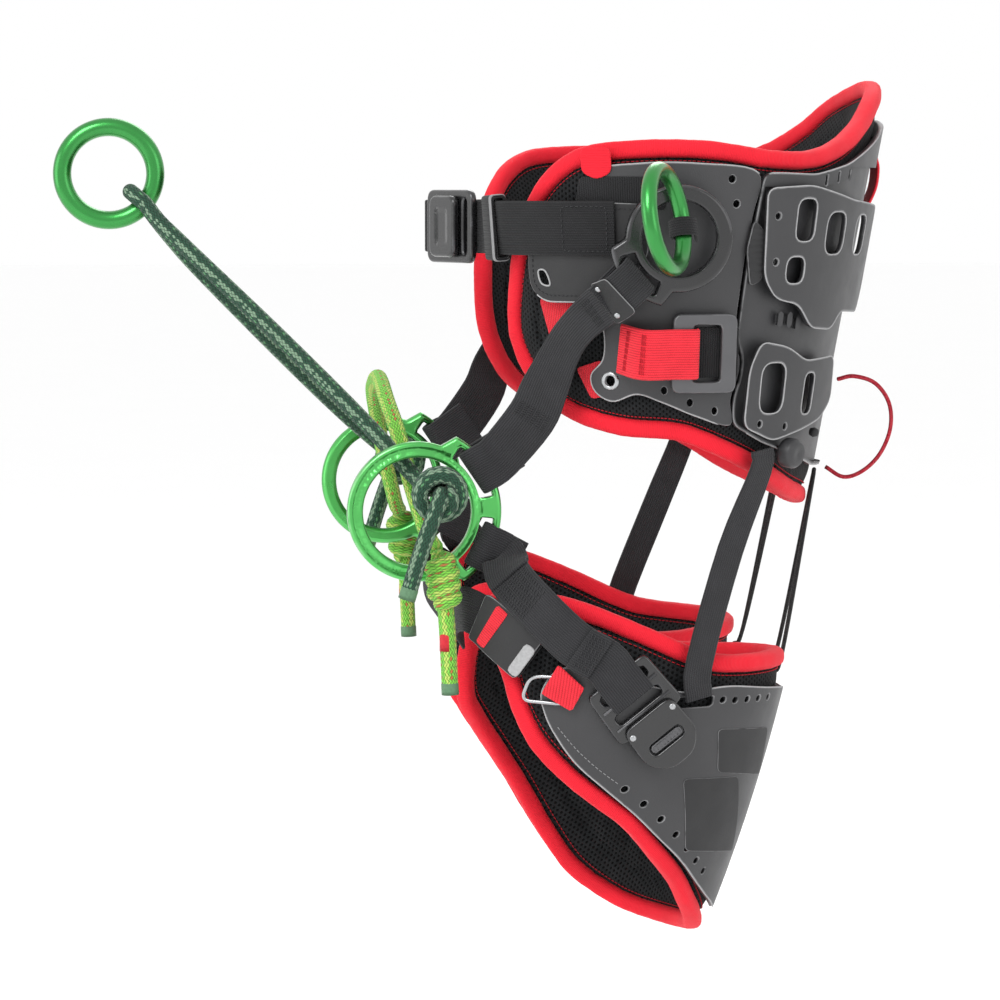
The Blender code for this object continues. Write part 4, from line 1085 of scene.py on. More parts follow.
def make_carriers():
    """The upper and lower gear carriers, with slots for slings."""
    for name, outline, slots, spots in CARRIERS:
        holes = [slot_outline(*slot) for slot in slots]
        edge = rounded(on_belt(outline), 0.007)
        carrier = plate(belt_surface, edge, holes + belt_holes(spots, 0.0022), CARRIER_OUT, CARRIER_FACE,
                        0.0014)
        pair(f"moulded_{name}_carrier", carrier, "shell", "harness", [f"{name}_gear_carrier_*"])
        out = CARRIER_FACE - 0.0004
        lines = joined(*[rubbed_edge(belt_surface, evened(loop, 0.003), out, closed=True)
                         for loop in (edge, *holes)])
        pair(f"{name}_carrier_rubbed_edges", lines, "rubbed", "harness")


def shell_edge(outline, out):
    """The rubbed edge of a belt shell, where neither the other shell nor the pad's middle hides it."""
    line = [point for point in evened(outline, 0.003)
            if point.x > 20 * BELT_ARC
            and not (70 < point.x / BELT_ARC < 79 and abs(point.y) < 0.086)]
    cuts = [0, *[k for k in range(1, len(line)) if (line[k] - line[k - 1]).length > 0.004], len(line)]
    return [rubbed_edge(belt_surface, line[low:high], out - 0.0005)
            for low, high in zip(cuts, cuts[1:]) if high - low > 4]


def make_shells():
    """The moulded shells that spread the load over the pad, and what is fixed to them."""
    holes = belt_holes([(111.5, -0.0475)], 0.0035)
    holes += belt_holes([(96.2, -0.0535), (88.6, -0.0615), (81, -0.0672), (79.5, 0.0840), (78, 0.0680)],
                        0.0026)
    hip_edge = smooth(on_belt(HIP_SHELL), 6, closed=True)
    shell = plate(belt_surface, hip_edge, holes, SHELL_OUT, SHELL_FACE)
    pair("moulded_hip_shell", shell, "shell", "harness", ["hip_shell_*"])
    make_carriers()
    left = BACK_SHELL_TOP + BACK_SHELL_EDGE
    right = [(-turn, height) for turn, height in reversed(left) if turn > 0.5]
    outline = rounded(on_belt(left + [(0, -0.114)] + right), 0.007)
    slits = [slot_outline(side * turn, height, 0.0022, 0.0075) for side, word in SIDES
             for turn, height in ((62, -0.0080), (58.5, -0.0085), (55, -0.0110), (51, 0.0835),
                                  (46, 0.0855), (41, 0.0880))]
    back = plate(belt_surface, outline, slits, SHELL_OUT, BACK_SHELL_OUT, edge=0.0012)
    piece("moulded_back_shell", back, "shell", "harness", ["back_shell"])
    leaf = on_belt([(73.5, 0.058), (75.0, 0.038), (73.4, 0.014), (70.0, 0.018), (70.2, 0.050)])
    ribbed = patch(belt_surface, leaf, 0.004, BACK_FACE - 0.0004, BACK_FACE + 0.0022, 0.0006,
                   pitch=0.0012, relief=lambda a, b: 0.0006 * abs(sin(b * pi / 0.0040)))
    pair("ribbed_leaf_patch", ribbed, "patch", "harness")
    back_edge = rounded(on_belt(left + [(0, -0.114)]), 0.007)
    edges = joined(*shell_edge(hip_edge, SHELL_FACE), *shell_edge(back_edge, BACK_FACE))
    pair("rubbed_shell_edges", edges, "rubbed", "harness")
    profile = [(0.00001, 0), (0.0024, 0.0008), (0.0034, 0.0035), (0.0024, 0.0062), (0.00001, 0.007)]
    ball = turned(profile, belt_at(41, -0.085, BACK_FACE), away_from(belt_at, 41, -0.085), 20)
    pair("cord_end_ball", ball, "patch", "harness")
    rim = eyelet(belt_at(111.5, -0.0475, SHELL_FACE), away_from(belt_at, 111.5, -0.0475), 0.0034, 0.0062,
                 0.0012)
    pair("rolled_grommet", rim, "bright", "harness")


def make_tabs():
    """The red tab over the top binding, the pull tab at the back and the patches beside the straps."""
    tab = on_belt([(108.5, 0.104), (115.7, 0.104), (115.7, 0.088), (112.1, 0.0835), (108.5, 0.088)])
    pair("red_top_tab", patch(belt_surface, tab, 0.004, 0.0046, 0.0062, 0.0006), "binding", "harness")
    rises = [(0.108, 0.0062), (0.100, 0.0075), (0.092, 0.0105), (0.080, 0.0115), (0.070, 0.0095),
             (0.062, 0.0062)]
    tab = [belt_at(0, height, out) for height, out in rises]
    strap = Strap(tab, [Vector((0, 1, 0))] * 6, 0.024, 0.0022)
    piece("red_back_tab", strap.body(), "red_webbing", "harness")
    upper = on_belt([(131.5, 0.006), (117.5, 0.004), (121, -0.016), (128.5, -0.030)])
    lower = on_belt([(122, -0.040), (114, -0.034), (113, -0.058), (118, -0.060)])
    patches = joined(patch(belt_surface, upper, 0.004, 0.0001, 0.0012, 0.0004),
                     patch(belt_surface, lower, 0.003, 0.0001, 0.0012, 0.0004))
    pair("red_corner_patches", patches, "red_webbing", "harness")


# ---- the waist closure ---------------------------------------------------------------------------
WING = [(100, 0.068), (122, 0.070), (130, 0.050), (132, 0.030), (132, 0.012), (128, 0.004), (112, 0.004),
        (106, 0.014), (100, 0.034)]
HALF_MOON = [(129, 0.024), (128.5, 0.016), (126, 0.015), (127, 0.024)]


def make_front_facing():
    """The black facing sewn over the front corner of each hip shell, above the waist strap."""
    corners = on_belt([(118, 0.064), (116.5, 0.0855), (96.5, 0.0855), (95.5, 0.064)])
    facing = patch(belt_surface, corners, 0.004, SHELL_FACE - 0.0002, SHELL_FACE + 0.0010, 0.0004)
    pair("sewn_front_facing", facing, "black_web", "harness")


def waist_face():
    """The waist buckle's own sheet: first way towards the wearer's left."""
    return flat_surface((0.025, -0.160, WAIST_STRAP_HEIGHT), (0.915, 0.403, 0), (0, 0, 1))


def waist_strap(side):
    """One side's waist strap, as places and the ways they face."""
    out = WING_OUT + WING_THICKNESS + GAP + WEB_THICKNESS / 2 + 0.0006
    turns = (108, 114, 120, 126, 132, 138)
    places = handed([belt_at(turn, WAIST_STRAP_HEIGHT, out) for turn in turns], side)
    facings = handed([away_from(belt_at, turn, WAIST_STRAP_HEIGHT) for turn in turns], side)
    left = side > 0
    front = [(0.1080, -0.1460), (0.0840, -0.1440)] if left else [(-0.0940, -0.1560), (-0.0500, -0.1690)]
    sheet = waist_face()
    places += [Vector((*place, WAIST_STRAP_HEIGHT)) for place in front]
    places += [sheet(end if left else -0.002 - end, 0, 0) for end in (0.040, 0.030, 0.010)]
    facings += [Vector((0.2 * side, -1, 0)), Vector((0, -1, 0))] + [sheet(0, 0, 1) - sheet(0, 0, 0)] * 3
    return places, facings


def make_wings():
    """The stiff panels that carry the waist straps' ends."""
    hole = smooth(on_belt(HALF_MOON), 6, closed=True)
    outline = rounded(on_belt(WING), 0.008)
    wing = plate(belt_surface, outline, [hole], WING_OUT, WING_OUT + WING_THICKNESS, edge=0.0009)
    pair("sewn_wing", wing, "patch", "harness", ["wing_panel_*"])
    face_out = WING_OUT + WING_THICKNESS
    low_edge = [point for point in evened(outline, 0.003)
                if point.y < 0.010 and point.x > 107 * BELT_ARC]
    lines = joined(rubbed_edge(belt_surface, evened(hole, 0.001), face_out, 0.0006, 8, closed=True),
                   rubbed_edge(belt_surface, low_edge, face_out - 0.0004, 0.0006))
    pair("wing_rubbed_edges", lines, "rubbed", "harness")
    line = inset(evened(outline, 0.003), 0.004 if area(outline) > 0 else -0.004)
    pair("wing_stitches", sewn(belt_surface, line, face_out, closed=True), "dark_thread", "harness")


def make_waist_straps():
    """Both waist straps and the elastic keeper on the left one."""
    for side, word in SIDES:
        places, facings = waist_strap(side)
        strap = Strap(places, facings, WAIST_WEB)
        piece(f"woven_waist_strap_{word}", strap.body(), "black_web", "harness", [f"waist_strap_{word}"])
        box = block((-0.0145, 0.0050), (0.0145, 0.0360), 0.001)
        seams = sewn(strap.at, box, WEB_THICKNESS / 2, closed=True, radius=0.0004)
        piece(f"waist_strap_seam_{word}", seams, "dark_thread", "harness")
    places, facings = waist_strap(1)
    along = (places[6] - places[5]).normalized()
    width = along.cross(facings[5] + facings[6]).normalized()
    sheet = flat_surface(places[5].lerp(places[6], 0.5), width, width.cross(along))
    reach = WAIST_WEB / 2 + 0.0035
    outer = block((-reach, -0.0052), (reach, 0.0052), 0.003)
    slot = [Vector((point.x * (reach - 0.0018) / reach, point.y * 0.66)) for point in outer]
    keeper = plate(sheet, outer, [slot], -0.0095, 0.0095, 0.0004, 0.0004, spacing=0.001)
    piece("elastic_keeper", keeper, "black_web", "harness", ["strap_keeper"])
    edge_band = [point * 1.03 for point in outer]
    band = plate(sheet, edge_band, [slot], 0.0042, 0.0090, 0.0004, 0.0004, spacing=0.001)
    piece("keeper_pale_edge", band, "grey_thread", "harness")


def make_waist_buckle():
    """The buckle at the front: a frame with two slots and a tongue with a hollow for the thumb."""
    face = waist_face()
    slots = [block((a, -0.019), (a + 0.005, 0.019), 0.002) for a in (0.020, -0.024)]
    high = BUCKLE_LOW + BUCKLE_FRAME
    frame_part = plate(face, block((-0.030, -0.025), (0.032, 0.025), 0.008), slots, BUCKLE_LOW, high,
                       0.0016, 0.0008)
    piece("forged_waist_buckle", frame_part, "dark_metal", "harness", ["waist_buckle_frame"])
    low = high + GAP
    outer = block((-0.017, -0.021), (0.017, 0.021), 0.007)
    tongue = plate(face, outer, (), low, low + 0.005, 0.0020, 0.0008, pitch=0.002,
                   relief=lambda a, b: -0.0008 if abs(b) < 0.012 and abs(a) < 0.008 else 0)
    piece("forged_waist_tongue", tongue, "dark_metal", "waist_tongue", ["waist_buckle_tongue"])


# ---- rings ---------------------------------------------------------------------------------------
ACCESSORY_RADIUS, ACCESSORY_WIRE, ACCESSORY_REACH = 0.0315, 0.0052, (0.0448, -0.0154, 0.0127)


def slot_radii(size):
    """The inner and outer radius of a ring's webbing slots."""
    return size["bore"] + SLOT_WALL, size["far"] - SLOT_BAR


def ring_plate(size, surface, aim, spread, slots, reach, groove=0.0):
    """A forged ring with webbing slots behind its far arc and a shallow groove round its band."""
    body = arc(size["outer"], aim + spread + 8, aim - spread + 352, 60)
    far = arc(size["far"], aim - spread, aim + spread, 40)
    low, high = slot_radii(size)
    holes = [arc(high, aim + middle - reach, aim + middle + reach, 14)
             + arc(low, aim + middle + reach, aim + middle - reach, 14) for middle in slots]
    half = size["thickness"] / 2
    band = (size["bore"] + size["outer"]) / 2

    def hollow(a, b):
        return -groove * max(0.0, 1 - ((hypot(a, b) - band) / 0.0022) ** 2)

    return plate(surface, body + far, [circle((0, 0), size["bore"], 90), *holes], -half, half, 0.0026,
                 0.0026, hole_edge=0.0016, pitch=0.0022, spacing=0.002, relief=hollow)


def ring_bar(size, surface, angle):
    """The middle of the bar that webbing is looped round, the way the strap leaves it, and outwards."""
    reach = size["far"] - SLOT_BAR / 2 - LOOP_SHIFT
    centre = surface(0, 0, 0)
    bar = surface(cos(radians(angle)) * reach, sin(radians(angle)) * reach, 0)
    return bar, (bar - centre).normalized(), (surface(0, 0, 1) - centre).normalized()


def bridge_face():
    """The left bridge ring's own sheet."""
    return flat_surface(BRIDGE_RING_PLACE, (0, 1, 0), (0, 0, 1))


def lateral_face():
    """The left lateral ring's own sheet."""
    place = belt_at(LATERAL_TURN, LATERAL_HEIGHT, LATERAL_OUT)
    return flat_surface(place, (0, 1, 0), (0.10, 0, 1))


def make_rings():
    """Bridge rings, lateral rings, accessory rings and the centre ring."""
    ring = ring_plate(BRIDGE_RING, bridge_face(), BRIDGE_AIM, 59, (BRIDGE_SLOT, -BRIDGE_SLOT), 22.5,
                      0.0012)
    # The bridge rings take the lighter copy of the green: painted light on their faces.
    pair("forged_bridge_ring", ring, "lit_green", "harness", ["bridge_ring_*"])
    ring = ring_plate(LATERAL_RING, lateral_face(), LATERAL_AIM, 34, (0,), 25, 0.0)
    pair("forged_lateral_ring", ring, "dark_metal", "*_lateral_ring", ["lateral_ring_*"])
    root = belt_at(LATERAL_TURN, LATERAL_HEIGHT, LATERAL_OUT)
    centre = root + Vector(ACCESSORY_REACH)
    axis = Vector((0.454, 0.869, 0.156)).normalized()
    spoke = root + Vector((0.009, -0.006, 0.004)) - centre
    spoke = (spoke - axis * spoke.dot(axis)).normalized()
    limb = centre + spoke * ACCESSORY_RADIUS
    pair("forged_accessory_ring", torus(centre, axis, ACCESSORY_RADIUS, ACCESSORY_WIRE), "green",
         "*_accessory_ring", ["accessory_ring_*"])
    reach = ACCESSORY_WIRE + 0.0016 + WEB_THICKNESS / 2
    loop = [limb - (spoke * cos(radians(a)) + axis * sin(radians(a))) * reach
            for a in range(-110, 111, 20)]
    low = limb + spoke * 0.0175
    loop = [low + axis * 0.0024, *loop, low - axis * 0.0024]
    strap = Strap(loop, [point - limb for point in loop], 0.012, steps=3)
    pair("woven_accessory_loop", strap.body(), "black_web", "harness", ["accessory_loop_*"])
    piece("forged_centre_ring", torus(CENTRE_RING_PLACE, (1, 0, 0), CENTRE_RING_RADIUS, CENTRE_WIRE, 90),
          "green", "centre_ring", ["centre_ring"])


# ---- webbing between the belt and the rings ------------------------------------------------------
HIP_MIDDLE = [(112, 0.001, 0.0195), (118, -0.012, 0.0160), (123, -0.027, 0.0140)]
HIP_LOWER = [(0.1555, -0.1150, -0.0520), (0.1480, -0.1230, -0.0720)]
HIP_WIDTHS = [0.028, 0.026, 0.028, 0.032, 0.033]
RING_WEB, LEG_WEB = 0.032, 0.031
ADJUSTER_PLACE, ADJUSTER_HALF = (85.5, -0.029), 0.0022


def looped_strap(start, middle, end):
    """A strap whose ends go round bars and come back behind it."""
    places, facings, widths = [list(part) for part in zip(*middle)]
    for spot, first in ((start, True), (end, False)):
        if not spot:
            continue
        bar, toward, outward, width = spot
        spokes = [toward * cos(radians(-90 - 30 * k)) + outward * sin(radians(-90 - 30 * k))
                  for k in range(7)]
        loop = [bar + spoke * LOOP_RADIUS for spoke in spokes]
        lead = bar + toward * LOOP_LEAD + outward * LOOP_RADIUS
        tail = bar + toward * LOOP_TAIL - outward * (WEB_THICKNESS / 2)
        route = [tail, *loop, lead]
        faces = [-outward, *spokes, outward]
        sizes = [width] * len(route)
        if first:
            places, facings, widths = route + places, faces + facings, sizes + widths
        else:
            places, facings, widths = places + route[::-1], facings + faces[::-1], widths + sizes
    return places, facings, widths


def make_hip_straps():
    """The straps from the lateral rings to the bridge rings."""
    start = (*ring_bar(LATERAL_RING, lateral_face(), LATERAL_AIM), HIP_WIDTHS[0])
    end = (*ring_bar(BRIDGE_RING, bridge_face(), BRIDGE_AIM + BRIDGE_SLOT), RING_WEB)
    places = [belt_at(*place) for place in HIP_MIDDLE] + [Vector(place) for place in HIP_LOWER]
    facings = [away_from(belt_at, turn, height) for turn, height, out in HIP_MIDDLE]
    facings += [Vector((0.92, -0.3, 0.2)), Vector((0.97, -0.15, 0.1))]
    strap = Strap(*looped_strap(start, zip(places, facings, HIP_WIDTHS), end))
    pair("woven_hip_strap", strap.body(), "webbing", "harness", ["hip_strap_*"])
    lead = strap.marks[8 * 4]
    cover = strap.patch(0.0155, lead - 0.002, lead + 0.016, 0.003, 0.0012, 0.0028, 0.0006)
    pair("hip_strap_fitting", cover, "patch", "harness")
    outward = strap.at(0, lead, 1) - strap.at(0, lead, 0)
    studs = joined(*[rivet(strap.at(across, lead + 0.010, 0.0028), outward, 0.0021, 0.0012)
                     for across in (-0.0105, 0.0105)])
    pair("hip_fitting_rivets", studs, "bright", "harness")
    back = strap.marks[-1 - 9 * 4]
    seams = joined(tack(strap.at, (0, back - 0.002), 0.024, 0.010, WEB_THICKNESS / 2, 7),
                   tack(strap.at, (0, lead + 0.030), 0.020, 0.006, WEB_THICKNESS / 2, 5))
    pair("hip_strap_tacks", seams, "dark_thread", "harness")


def make_adjusters():
    """The size adjusters behind the hip straps: a metal frame and the red strap through it."""
    outward = away_from(belt_at, *ADJUSTER_PLACE)
    forward = outward.cross(Vector((0, 0, 1))).normalized()
    sheet = flat_surface(belt_at(*ADJUSTER_PLACE, 0.0100), forward, outward.cross(forward))
    window = block((-0.0110, -0.0188), (0.0080, 0.0188), 0.0025)
    outer = block((-0.0215, -0.0260), (0.0215, 0.0260), 0.006)
    frame_part = plate(sheet, outer, [window], -ADJUSTER_HALF, ADJUSTER_HALF, 0.0014, 0.0008)
    pair("forged_adjuster", frame_part, "grey_metal", "*_adjuster", ["adjuster_frame_*"])
    lift = ADJUSTER_HALF + GAP + WEB_THICKNESS / 2
    route = [belt_at(108, -0.026, 0.0095), sheet(0.0420, 0.0, lift), sheet(0.0215, 0.0, lift),
             sheet(0.0070, 0.0, lift), sheet(0.0048, 0.0, 0.0)]
    facings = [away_from(belt_at, 108, -0.026), outward, outward, outward, -forward]
    strap = Strap(route, facings, 0.033)
    red = pair("woven_adjuster_strap", strap.body(), "red_webbing", None, ["adjuster_strap_*"])
    bend(red, "harness", "*_adjuster", route[0], route[2])
    seams = joined(*[tack(strap.at, (0, along), 0.027, 0.0022, WEB_THICKNESS / 2, 3, 0.0004)
                     for along in (0.008, 0.0215)])
    bend(pair("adjuster_strap_tacks", seams, "red_thread", None), "harness", "*_adjuster", route[0],
         route[2])
    anchor = plate(sheet, block((-0.0240, -0.0165), (0.0085, 0.0165), 0.001), (), -0.0048, -0.0030,
                   0.0005)
    pair("adjuster_anchor", anchor, "black_web", "harness")


# ---- ropes ---------------------------------------------------------------------------------------
DARK_ROUTE = [(0.1375, -0.1885, -0.1195), (0.1290, -0.1935, -0.1165), (0.1190, -0.2020, -0.1080),
              (0.1070, -0.2200, -0.0900), (0.0850, -0.2500, -0.0600), (0.0560, -0.2950, -0.0150),
              (0.0290, -0.3400, 0.0300), (0.0165, -0.3640, 0.0560)]
LIGHT_ROUTE = [(0.1405, -0.1860, -0.1580), (0.1300, -0.1890, -0.1530), (0.1180, -0.1930, -0.1400),
               (0.1080, -0.1990, -0.1180), (0.0900, -0.2060, -0.0860), (0.0600, -0.2110, -0.0660),
               (0.0280, -0.2120, -0.0560)]
KNOTS = {
    "dark": dict(centre=(0.1530, -0.184, -0.122), turn=(1, 0, -0.1), radius=0.0190, half_length=0.0125,
                 wraps=3,
                 tail=[(0.1700, -0.190, -0.136), (0.1712, -0.198, -0.158), (0.1700, -0.2075, -0.189)]),
    "light": dict(centre=(0.1535, -0.182, -0.179), turn=(0.05, 0.1, -1), radius=0.0118,
                  half_length=0.0205, wraps=4,
                  tail=[(0.1550, -0.1795, -0.210), (0.1550, -0.1785, -0.230), (0.1550, -0.1775, -0.254)]),
}


def ring_bight():
    """The dark rope's turn round the centre ring, from left to right."""
    centre = Vector(CENTRE_RING_PLACE)
    spoke = Vector((0, cos(radians(-40)), sin(radians(-40))))
    limb = centre + spoke * CENTRE_RING_RADIUS
    reach = CENTRE_WIRE + ROPE_RADIUS + GAP
    return [limb + Vector((cos(radians(a)), 0, 0)) * reach - spoke * sin(radians(a)) * reach
            for a in range(0, 181, 20)]


def knot_route(knot):
    """The rope's own route round a stopper knot: in at one end, several wraps, out at the other."""
    centre, turn = Vector(knot["centre"]), Vector(knot["turn"]).normalized()
    first, second = square_to(turn)
    reach = knot["radius"] - ROPE_RADIUS
    route = []
    count = int(knot["wraps"] * 16)
    for k in range(count + 1):
        t = k / count
        angle = 2 * pi * knot["wraps"] * t
        spread = reach * min(1.0, 0.25 + 5.0 * min(t, 1 - t))
        along = (knot["half_length"] - ROPE_RADIUS * 0.8) * (2 * t - 1)
        route.append(centre + turn * along + (first * cos(angle) + second * sin(angle)) * spread)
    return route


def make_bridge():
    """Two ropes between the bridge rings, their stopper knots and hanging tails."""
    last = len(DARK_ROUTE) - 1
    halves = [smooth([Vector(point) + Vector((0, by, by)) * sin(pi * max(0, index - 2) / (last - 2))
                      for index, point in enumerate(DARK_ROUTE)], 2) for by in (0.0022, -0.0022)]
    dark = smooth([*halves[0], *ring_bight(), *handed(halves[1][::-1], -1)], 3)
    piece("braided_bridge_rope", tube(dark, ROPE_RADIUS, 20), "rope_dark", "bridge",
          ["bridge_rope_dark"])
    light = smooth([*LIGHT_ROUTE, (0, -0.2120, -0.0530), *handed(LIGHT_ROUTE[::-1], -1)], 6)
    backup = piece("braided_backup_rope", tube(light, ROPE_RADIUS, 16), "rope_light", "backup_bridge",
                   ["bridge_rope_light"])
    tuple(light[0])
    lengths(light)[-1]
    for name, knot in KNOTS.items():
        pair(f"tied_{name}_knot", tube(knot_route(knot), ROPE_RADIUS, 14), f"rope_{name}", "harness",
             [f"{name}_knot_*"])
        centre, turn = Vector(knot["centre"]), Vector(knot["turn"]).normalized()
        tail = smooth([centre, centre + turn * 0.009, *knot["tail"]], 6)
        tails = pair(f"{name}_rope_tail", tube(tail, ROPE_RADIUS, 14), f"rope_{name}", "harness", ())
        for made, (side, word) in zip(tails, SIDES):
            route = handed(tail, side)
            lengths(route)[-1]
        back = (tail[-3] - tail[-1]).normalized()
        end = tube([tail[-1] + back * reach for reach in (0.007, 0.0035, 0.0)], ROPE_RADIUS + 0.0003, 16)
        pair(f"{name}_tail_whipping", end, "whipping", "harness")
        if name == "light":
            middle = tail[len(tail) * 3 // 5]
            mark = tube([middle + Vector((0.0012, -0.0012, share)) for share in (0.005, 0.0, -0.005)],
                        ROPE_RADIUS - 0.0010, 16)
            pair("light_tail_mark", mark, "band", "harness")


# ---- leg loops -----------------------------------------------------------------------------------
LEG_SHELL = [(117, -0.250), (115, -0.264), (110.5, -0.278), (102, -0.297), (91, -0.314), (78.5, -0.332),
             (68, -0.348), (55, -0.366), (42, -0.384), (28, -0.398), (8, -0.409), (-14, -0.400),
             (-20, -0.340), (-18, -0.268), (4, -0.260), (34, -0.254), (52, -0.250), (61, -0.250),
             (70, -0.252), (84, -0.246), (100, -0.236), (112, -0.235)]
LEG_OUT = 0.0015
BUCKLE_TURN, BUCKLE_HEIGHT, LEG_BUCKLE = 88.0, -0.254, 0.005


def buckle_face():
    """The left leg buckle's own sheet: first way down along the strap."""
    outward = away_from(leg_at, BUCKLE_TURN, BUCKLE_HEIGHT)
    run = Vector((-0.03, 0.62, -0.78))
    run = (run - outward * run.dot(outward)).normalized()
    place = leg_at(BUCKLE_TURN, BUCKLE_HEIGHT, LEG_OUT + SHELL_THICKNESS + GAP)
    return flat_surface(place, run, outward.cross(run)), outward


def make_leg_shells():
    """Each leg loop's shell and what is sewn or printed on it."""
    slot = rounded(on_leg([(73, -0.262), (60, -0.262), (60, -0.255), (73, -0.255)]), 0.002)
    holes = [circle((turn * LEG_ARC, height), 0.0022, 16)
             for turn, height in ((84, -0.3150), (76.2, -0.3255), (68.4, -0.3365), (60.6, -0.3480),
                                  (53.6, -0.3585), (47, -0.3680), (40.5, -0.3765), (56, -0.2585),
                                  (50.5, -0.2595), (44.5, -0.2600), (38, -0.2605), (31, -0.2610))]
    shell = plate(leg_surface, smooth(on_leg(LEG_SHELL), 5, closed=True), [slot, *holes], LEG_OUT,
                  LEG_OUT + SHELL_THICKNESS)
    pair("moulded_leg_shell", shell, "shell", "*_leg_loop", ["leg_shell_*"])
    high = LEG_OUT + SHELL_THICKNESS
    edge = evened(smooth(on_leg(LEG_SHELL), 5, closed=True), 0.003)
    line = rubbed_edge(leg_surface, edge, high - 0.0005, closed=True)
    pair("rubbed_leg_shell_edge", line, "rubbed", "*_leg_loop")
    corners = [[(55.5, -0.2780), (24, -0.2830), (16, -0.3170), (50.5, -0.3080)],
               [(64.5, -0.3100), (38, -0.3130), (20, -0.3680), (54.5, -0.3600)]]
    patches = joined(*[patch(leg_surface, on_leg(places), 0.004, high - 0.0004, high + 0.0005, 0.0003)
                       for places in corners])
    pair("leg_shell_patches", patches, "patch", "*_leg_loop")
    seam = smooth(on_leg([(110, -0.273), (103, -0.287), (95, -0.300), (86.5, -0.3115)]), 6)
    pair("leg_shell_seam", sewn(leg_surface, seam, high), "grey_thread", "*_leg_loop")


def make_leg_buckles():
    """Each leg loop's buckle: a frame with two windows and a tongue with a ribbed grip."""
    sheet, outward = buckle_face()
    outer = rounded([(-0.020, -0.024), (0.020, -0.026), (0.020, 0.026), (-0.020, 0.024)], 0.005)
    windows = [block((a, -0.018), (a + 0.007, 0.018), 0.002) for a in (-0.0145, 0.0015)]
    pair("forged_leg_buckle", plate(sheet, outer, windows, 0, LEG_BUCKLE, 0.0016, 0.0006), "dark_metal",
         "*_leg_loop", ["leg_buckle_frame_*"])
    outer = rounded([(0.012, -0.020), (0.040, -0.021), (0.052, -0.010), (0.052, 0.010), (0.040, 0.021),
                     (0.012, 0.020)], 0.008)
    slot = block((0.030, -0.013), (0.038, 0.013), 0.003)
    low = LEG_BUCKLE + GAP
    bar = block((0.0312, -0.0122), (0.0368, 0.0122), 0.002)
    grip = plate(sheet, bar, (), low - 0.0002, low + 0.0026, 0.0006, pitch=0.0008,
                 relief=lambda a, b: 0.0009 * abs(sin(b * pi / 0.0026)))
    pair("tongue_grip", grip, "grey_metal", "*_leg_tongue")
    studs = joined(*[rivet(sheet(0.0185, across, low + 0.004), outward, 0.0022, 0.0012)
                     for across in (-0.0165, 0.0165)])
    pair("leg_tongue_rivets", studs, "bright", "*_leg_tongue")
    bars = joined(*[tube([sheet(along, -0.0215, 0.0052), sheet(along, 0.0215, 0.0052)], radius, 10)
                    for along, radius in ((-0.0045, 0.0012), (0.0102, 0.0010))])
    pair("leg_buckle_bars", bars, "grey_metal", "*_leg_loop")
    pair("forged_leg_tongue", plate(sheet, outer, [slot], low, low + 0.004, 0.0014, 0.0006),
         "dark_metal", "*_leg_tongue", ["leg_buckle_tongue_*"])


def make_leg_straps():
    """The straps from the bridge rings down to the leg buckles."""
    sheet, outward = buckle_face()
    start = (*ring_bar(BRIDGE_RING, bridge_face(), BRIDGE_AIM - BRIDGE_SLOT), LEG_WEB)
    lift = LEG_BUCKLE + GAP + WEB_THICKNESS / 2
    places = [Vector((0.1600, -0.1385, -0.1765)), leg_at(120, -0.194, 0.0140),
              leg_at(108, -0.217, 0.0130), sheet(-0.0330, 0, lift), sheet(-0.0180, 0, lift),
              sheet(0.0000, 0, lift)]
    facings = [Vector((0.95, -0.35, 0.2)), away_from(leg_at, 120, -0.194),
               away_from(leg_at, 108, -0.217), outward, outward, outward]
    strap = Strap(*looped_strap(start, zip(places, facings, [LEG_WEB] * len(places)), None))
    lead, end = strap.marks[8 * 4], strap.length
    layer = joined(strap.patch(0.0153, lead - 0.002, lead + 0.026, 0.001, 0.0013, 0.0036),
                   strap.patch(0.0153, end - 0.052, end - 0.036, 0.001, 0.0013, 0.0034))
    seams = joined(tack(strap.at, (0, lead + 0.041), 0.026, 0.026, WEB_THICKNESS / 2, 12, 0.0004),
                   tack(strap.at, (0, end - 0.044), 0.026, 0.010, 0.0034, 5, 0.0004))
    for made in (pair("woven_leg_strap", strap.body(), "webbing", None, ["leg_strap_*"]),
                 pair("leg_strap_folds", layer, "webbing", None),
                 pair("leg_strap_tacks", seams, "dark_thread", None)):
        bend(made, "harness", "*_leg_loop", (0.158, -0.150, -0.168), places[2])


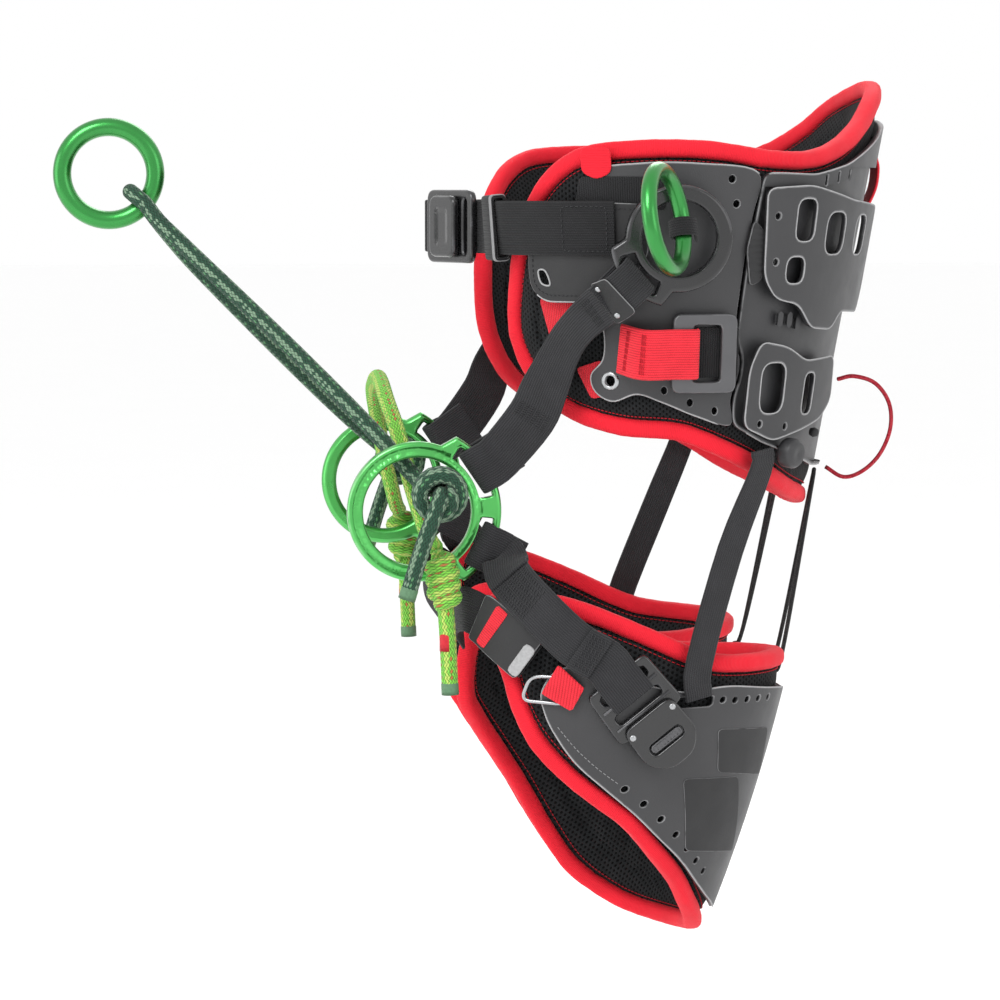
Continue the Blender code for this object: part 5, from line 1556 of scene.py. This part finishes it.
def make_hook_straps():
    """The short strap across the front of each leg loop, its sleeve, red tab and wire hook."""
    turns = [(151, -0.199), (141, -0.204), (133, -0.214), (127, -0.222), (121.5, -0.2295)]
    places = [Vector((0.060, -0.160, -0.222)), Vector((0.095, -0.169, -0.208))]
    places += [leg_at(*turn, 0.006) for turn in turns]
    facings = [Vector((0.1, -1, 0)), Vector((0.2, -1, 0))] + [away_from(leg_at, *turn) for turn in turns]
    strap = Strap(places, facings, 0.030)
    pair("woven_hook_strap", strap.body(), "black_web", "*_leg_loop", ["hook_strap_*"])
    end = strap.length
    sleeve = strap.patch(0.0170, end - 0.048, end - 0.001, 0.003, 0.0013, 0.0032)
    pair("hook_strap_sleeve", sleeve, "patch", "*_leg_loop")
    stripe = strap.patch(0.0150, end - 0.0385, end - 0.0300, 0.001, 0.0030, 0.0038, 0.0003)
    pair("hook_sleeve_stripe", stripe, "red_webbing", "*_leg_loop")
    outline = block((-0.0080, end - 0.0090), (0.0155, end - 0.0005), 0.003)
    tip = plate(strap.at, outline, (), 0.0030, 0.0042, 0.0008, pitch=0.003)
    pair("hook_sleeve_tip", tip, "rubbed", "*_leg_loop")
    tab = on_leg([(112.2, -0.2313), (103.3, -0.2467), (106, -0.2622), (116.2, -0.2507)])
    pair("red_hook_tab", patch(leg_surface, tab, 0.001, 0.0088, 0.0108, 0.0006), "red_webbing",
         "*_leg_loop")
    wire = rounded(on_leg([(121, -0.240), (123, -0.256), (108, -0.258), (110, -0.240)]), 0.006)
    pair("bent_wire_hook", tube(over(leg_surface, wire, 0.0070), 0.0013, 10, closed=True), "bright",
         "*_wire_hook", ["wire_hook_*"])


# ---- behind --------------------------------------------------------------------------------------
KNOB_PLACE = (54.5, -0.0965)


def make_rear():
    """Suspension straps, elastic cords, the knobs that hold them and the red loop that slackens them."""
    upper = [(belt_at, 64.5, -0.094, 0.0085), (belt_at, 64.5, -0.108, 0.0090)]
    lower = [(leg_at, 69.0, -0.232, 0.0072), (leg_at, 66.5, -0.2560, 0.0072)]
    over_pads = [[surface(*place, out) for surface, *place, out in part] for part in (upper, lower)]
    outwards = [[away_from(surface, *place) for surface, *place, out in part] for part in (upper, lower)]
    places = [*over_pads[0], Vector((0.160, 0.008, -0.160)), *over_pads[1]]
    facings = [*outwards[0], Vector((0.9, 0.35, 0)), *outwards[1]]
    made = pair("woven_suspension_strap", Strap(places, facings, 0.020).body(), "webbing", None,
                ["suspension_strap_*"])
    bend(made, "harness", "*_leg_loop", places[1], places[3])
    cord = smooth([(0.0650, 0.0485, -0.2530), (0.0640, 0.0580, -0.2400), (0.0585, 0.0815, -0.1300),
                   (0.0600, 0.0840, -0.1165), (0.0640, 0.0830, -0.1165), (0.0665, 0.0805, -0.1300),
                   (0.0740, 0.0600, -0.2400), (0.0745, 0.0528, -0.2530)], 8)
    made = pair("elastic_cord_pair", tube(cord, ELASTIC_RADIUS, 10), "cord", None, ["elastic_cord_*"])
    bend(made, "harness", "*_leg_loop", (0.0620, 0.0830, -0.125), (0.0690, 0.0600, -0.2350))
    spot, outward = belt_at(*KNOB_PLACE, BACK_SHELL_OUT + GAP), away_from(belt_at, *KNOB_PLACE)
    knob = turned([(0.00001, 0), (0.0078, 0), (0.0085, 0.0004), (0.0098, 0.002), (0.0100, 0.003),
                   (0.0100, 0.0085), (0.0096, 0.0096), (0.0080, 0.0116), (0.0074, 0.0120),
                   (0.0040, 0.0118), (0.00001, 0.0112)], spot, outward, 32)
    pair("moulded_cord_knob", knob, "shell", "*_cord_knob", ["cord_knob_*"])
    loop = smooth([(0.020, 0.1090, -0.0550), (0.021, 0.1200, -0.0530), (0.022, 0.1350, -0.0580),
                   (0.022, 0.1450, -0.0720), (0.022, 0.1460, -0.0900), (0.020, 0.1390, -0.1080),
                   (0.018, 0.1270, -0.1200), (0.016, 0.1140, -0.1240), (0.012, 0.1020, -0.1170)], 6)
    made = piece("braided_pull_loop", tube(loop, ELASTIC_RADIUS, 10), "cord_red", "harness",
                 ["pull_loop"])
    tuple(loop[0])
    lengths(loop)[-1]


make_camera()
make_stage()
make_bridge()
make_rear()
make_belt_padding()
make_leg_padding()
make_front_facing()
make_shells()
make_tabs()
make_wings()
make_waist_straps()
make_waist_buckle()
make_rings()
make_hip_straps()
make_adjusters()
make_leg_shells()
make_leg_buckles()
make_leg_straps()
make_hook_straps()
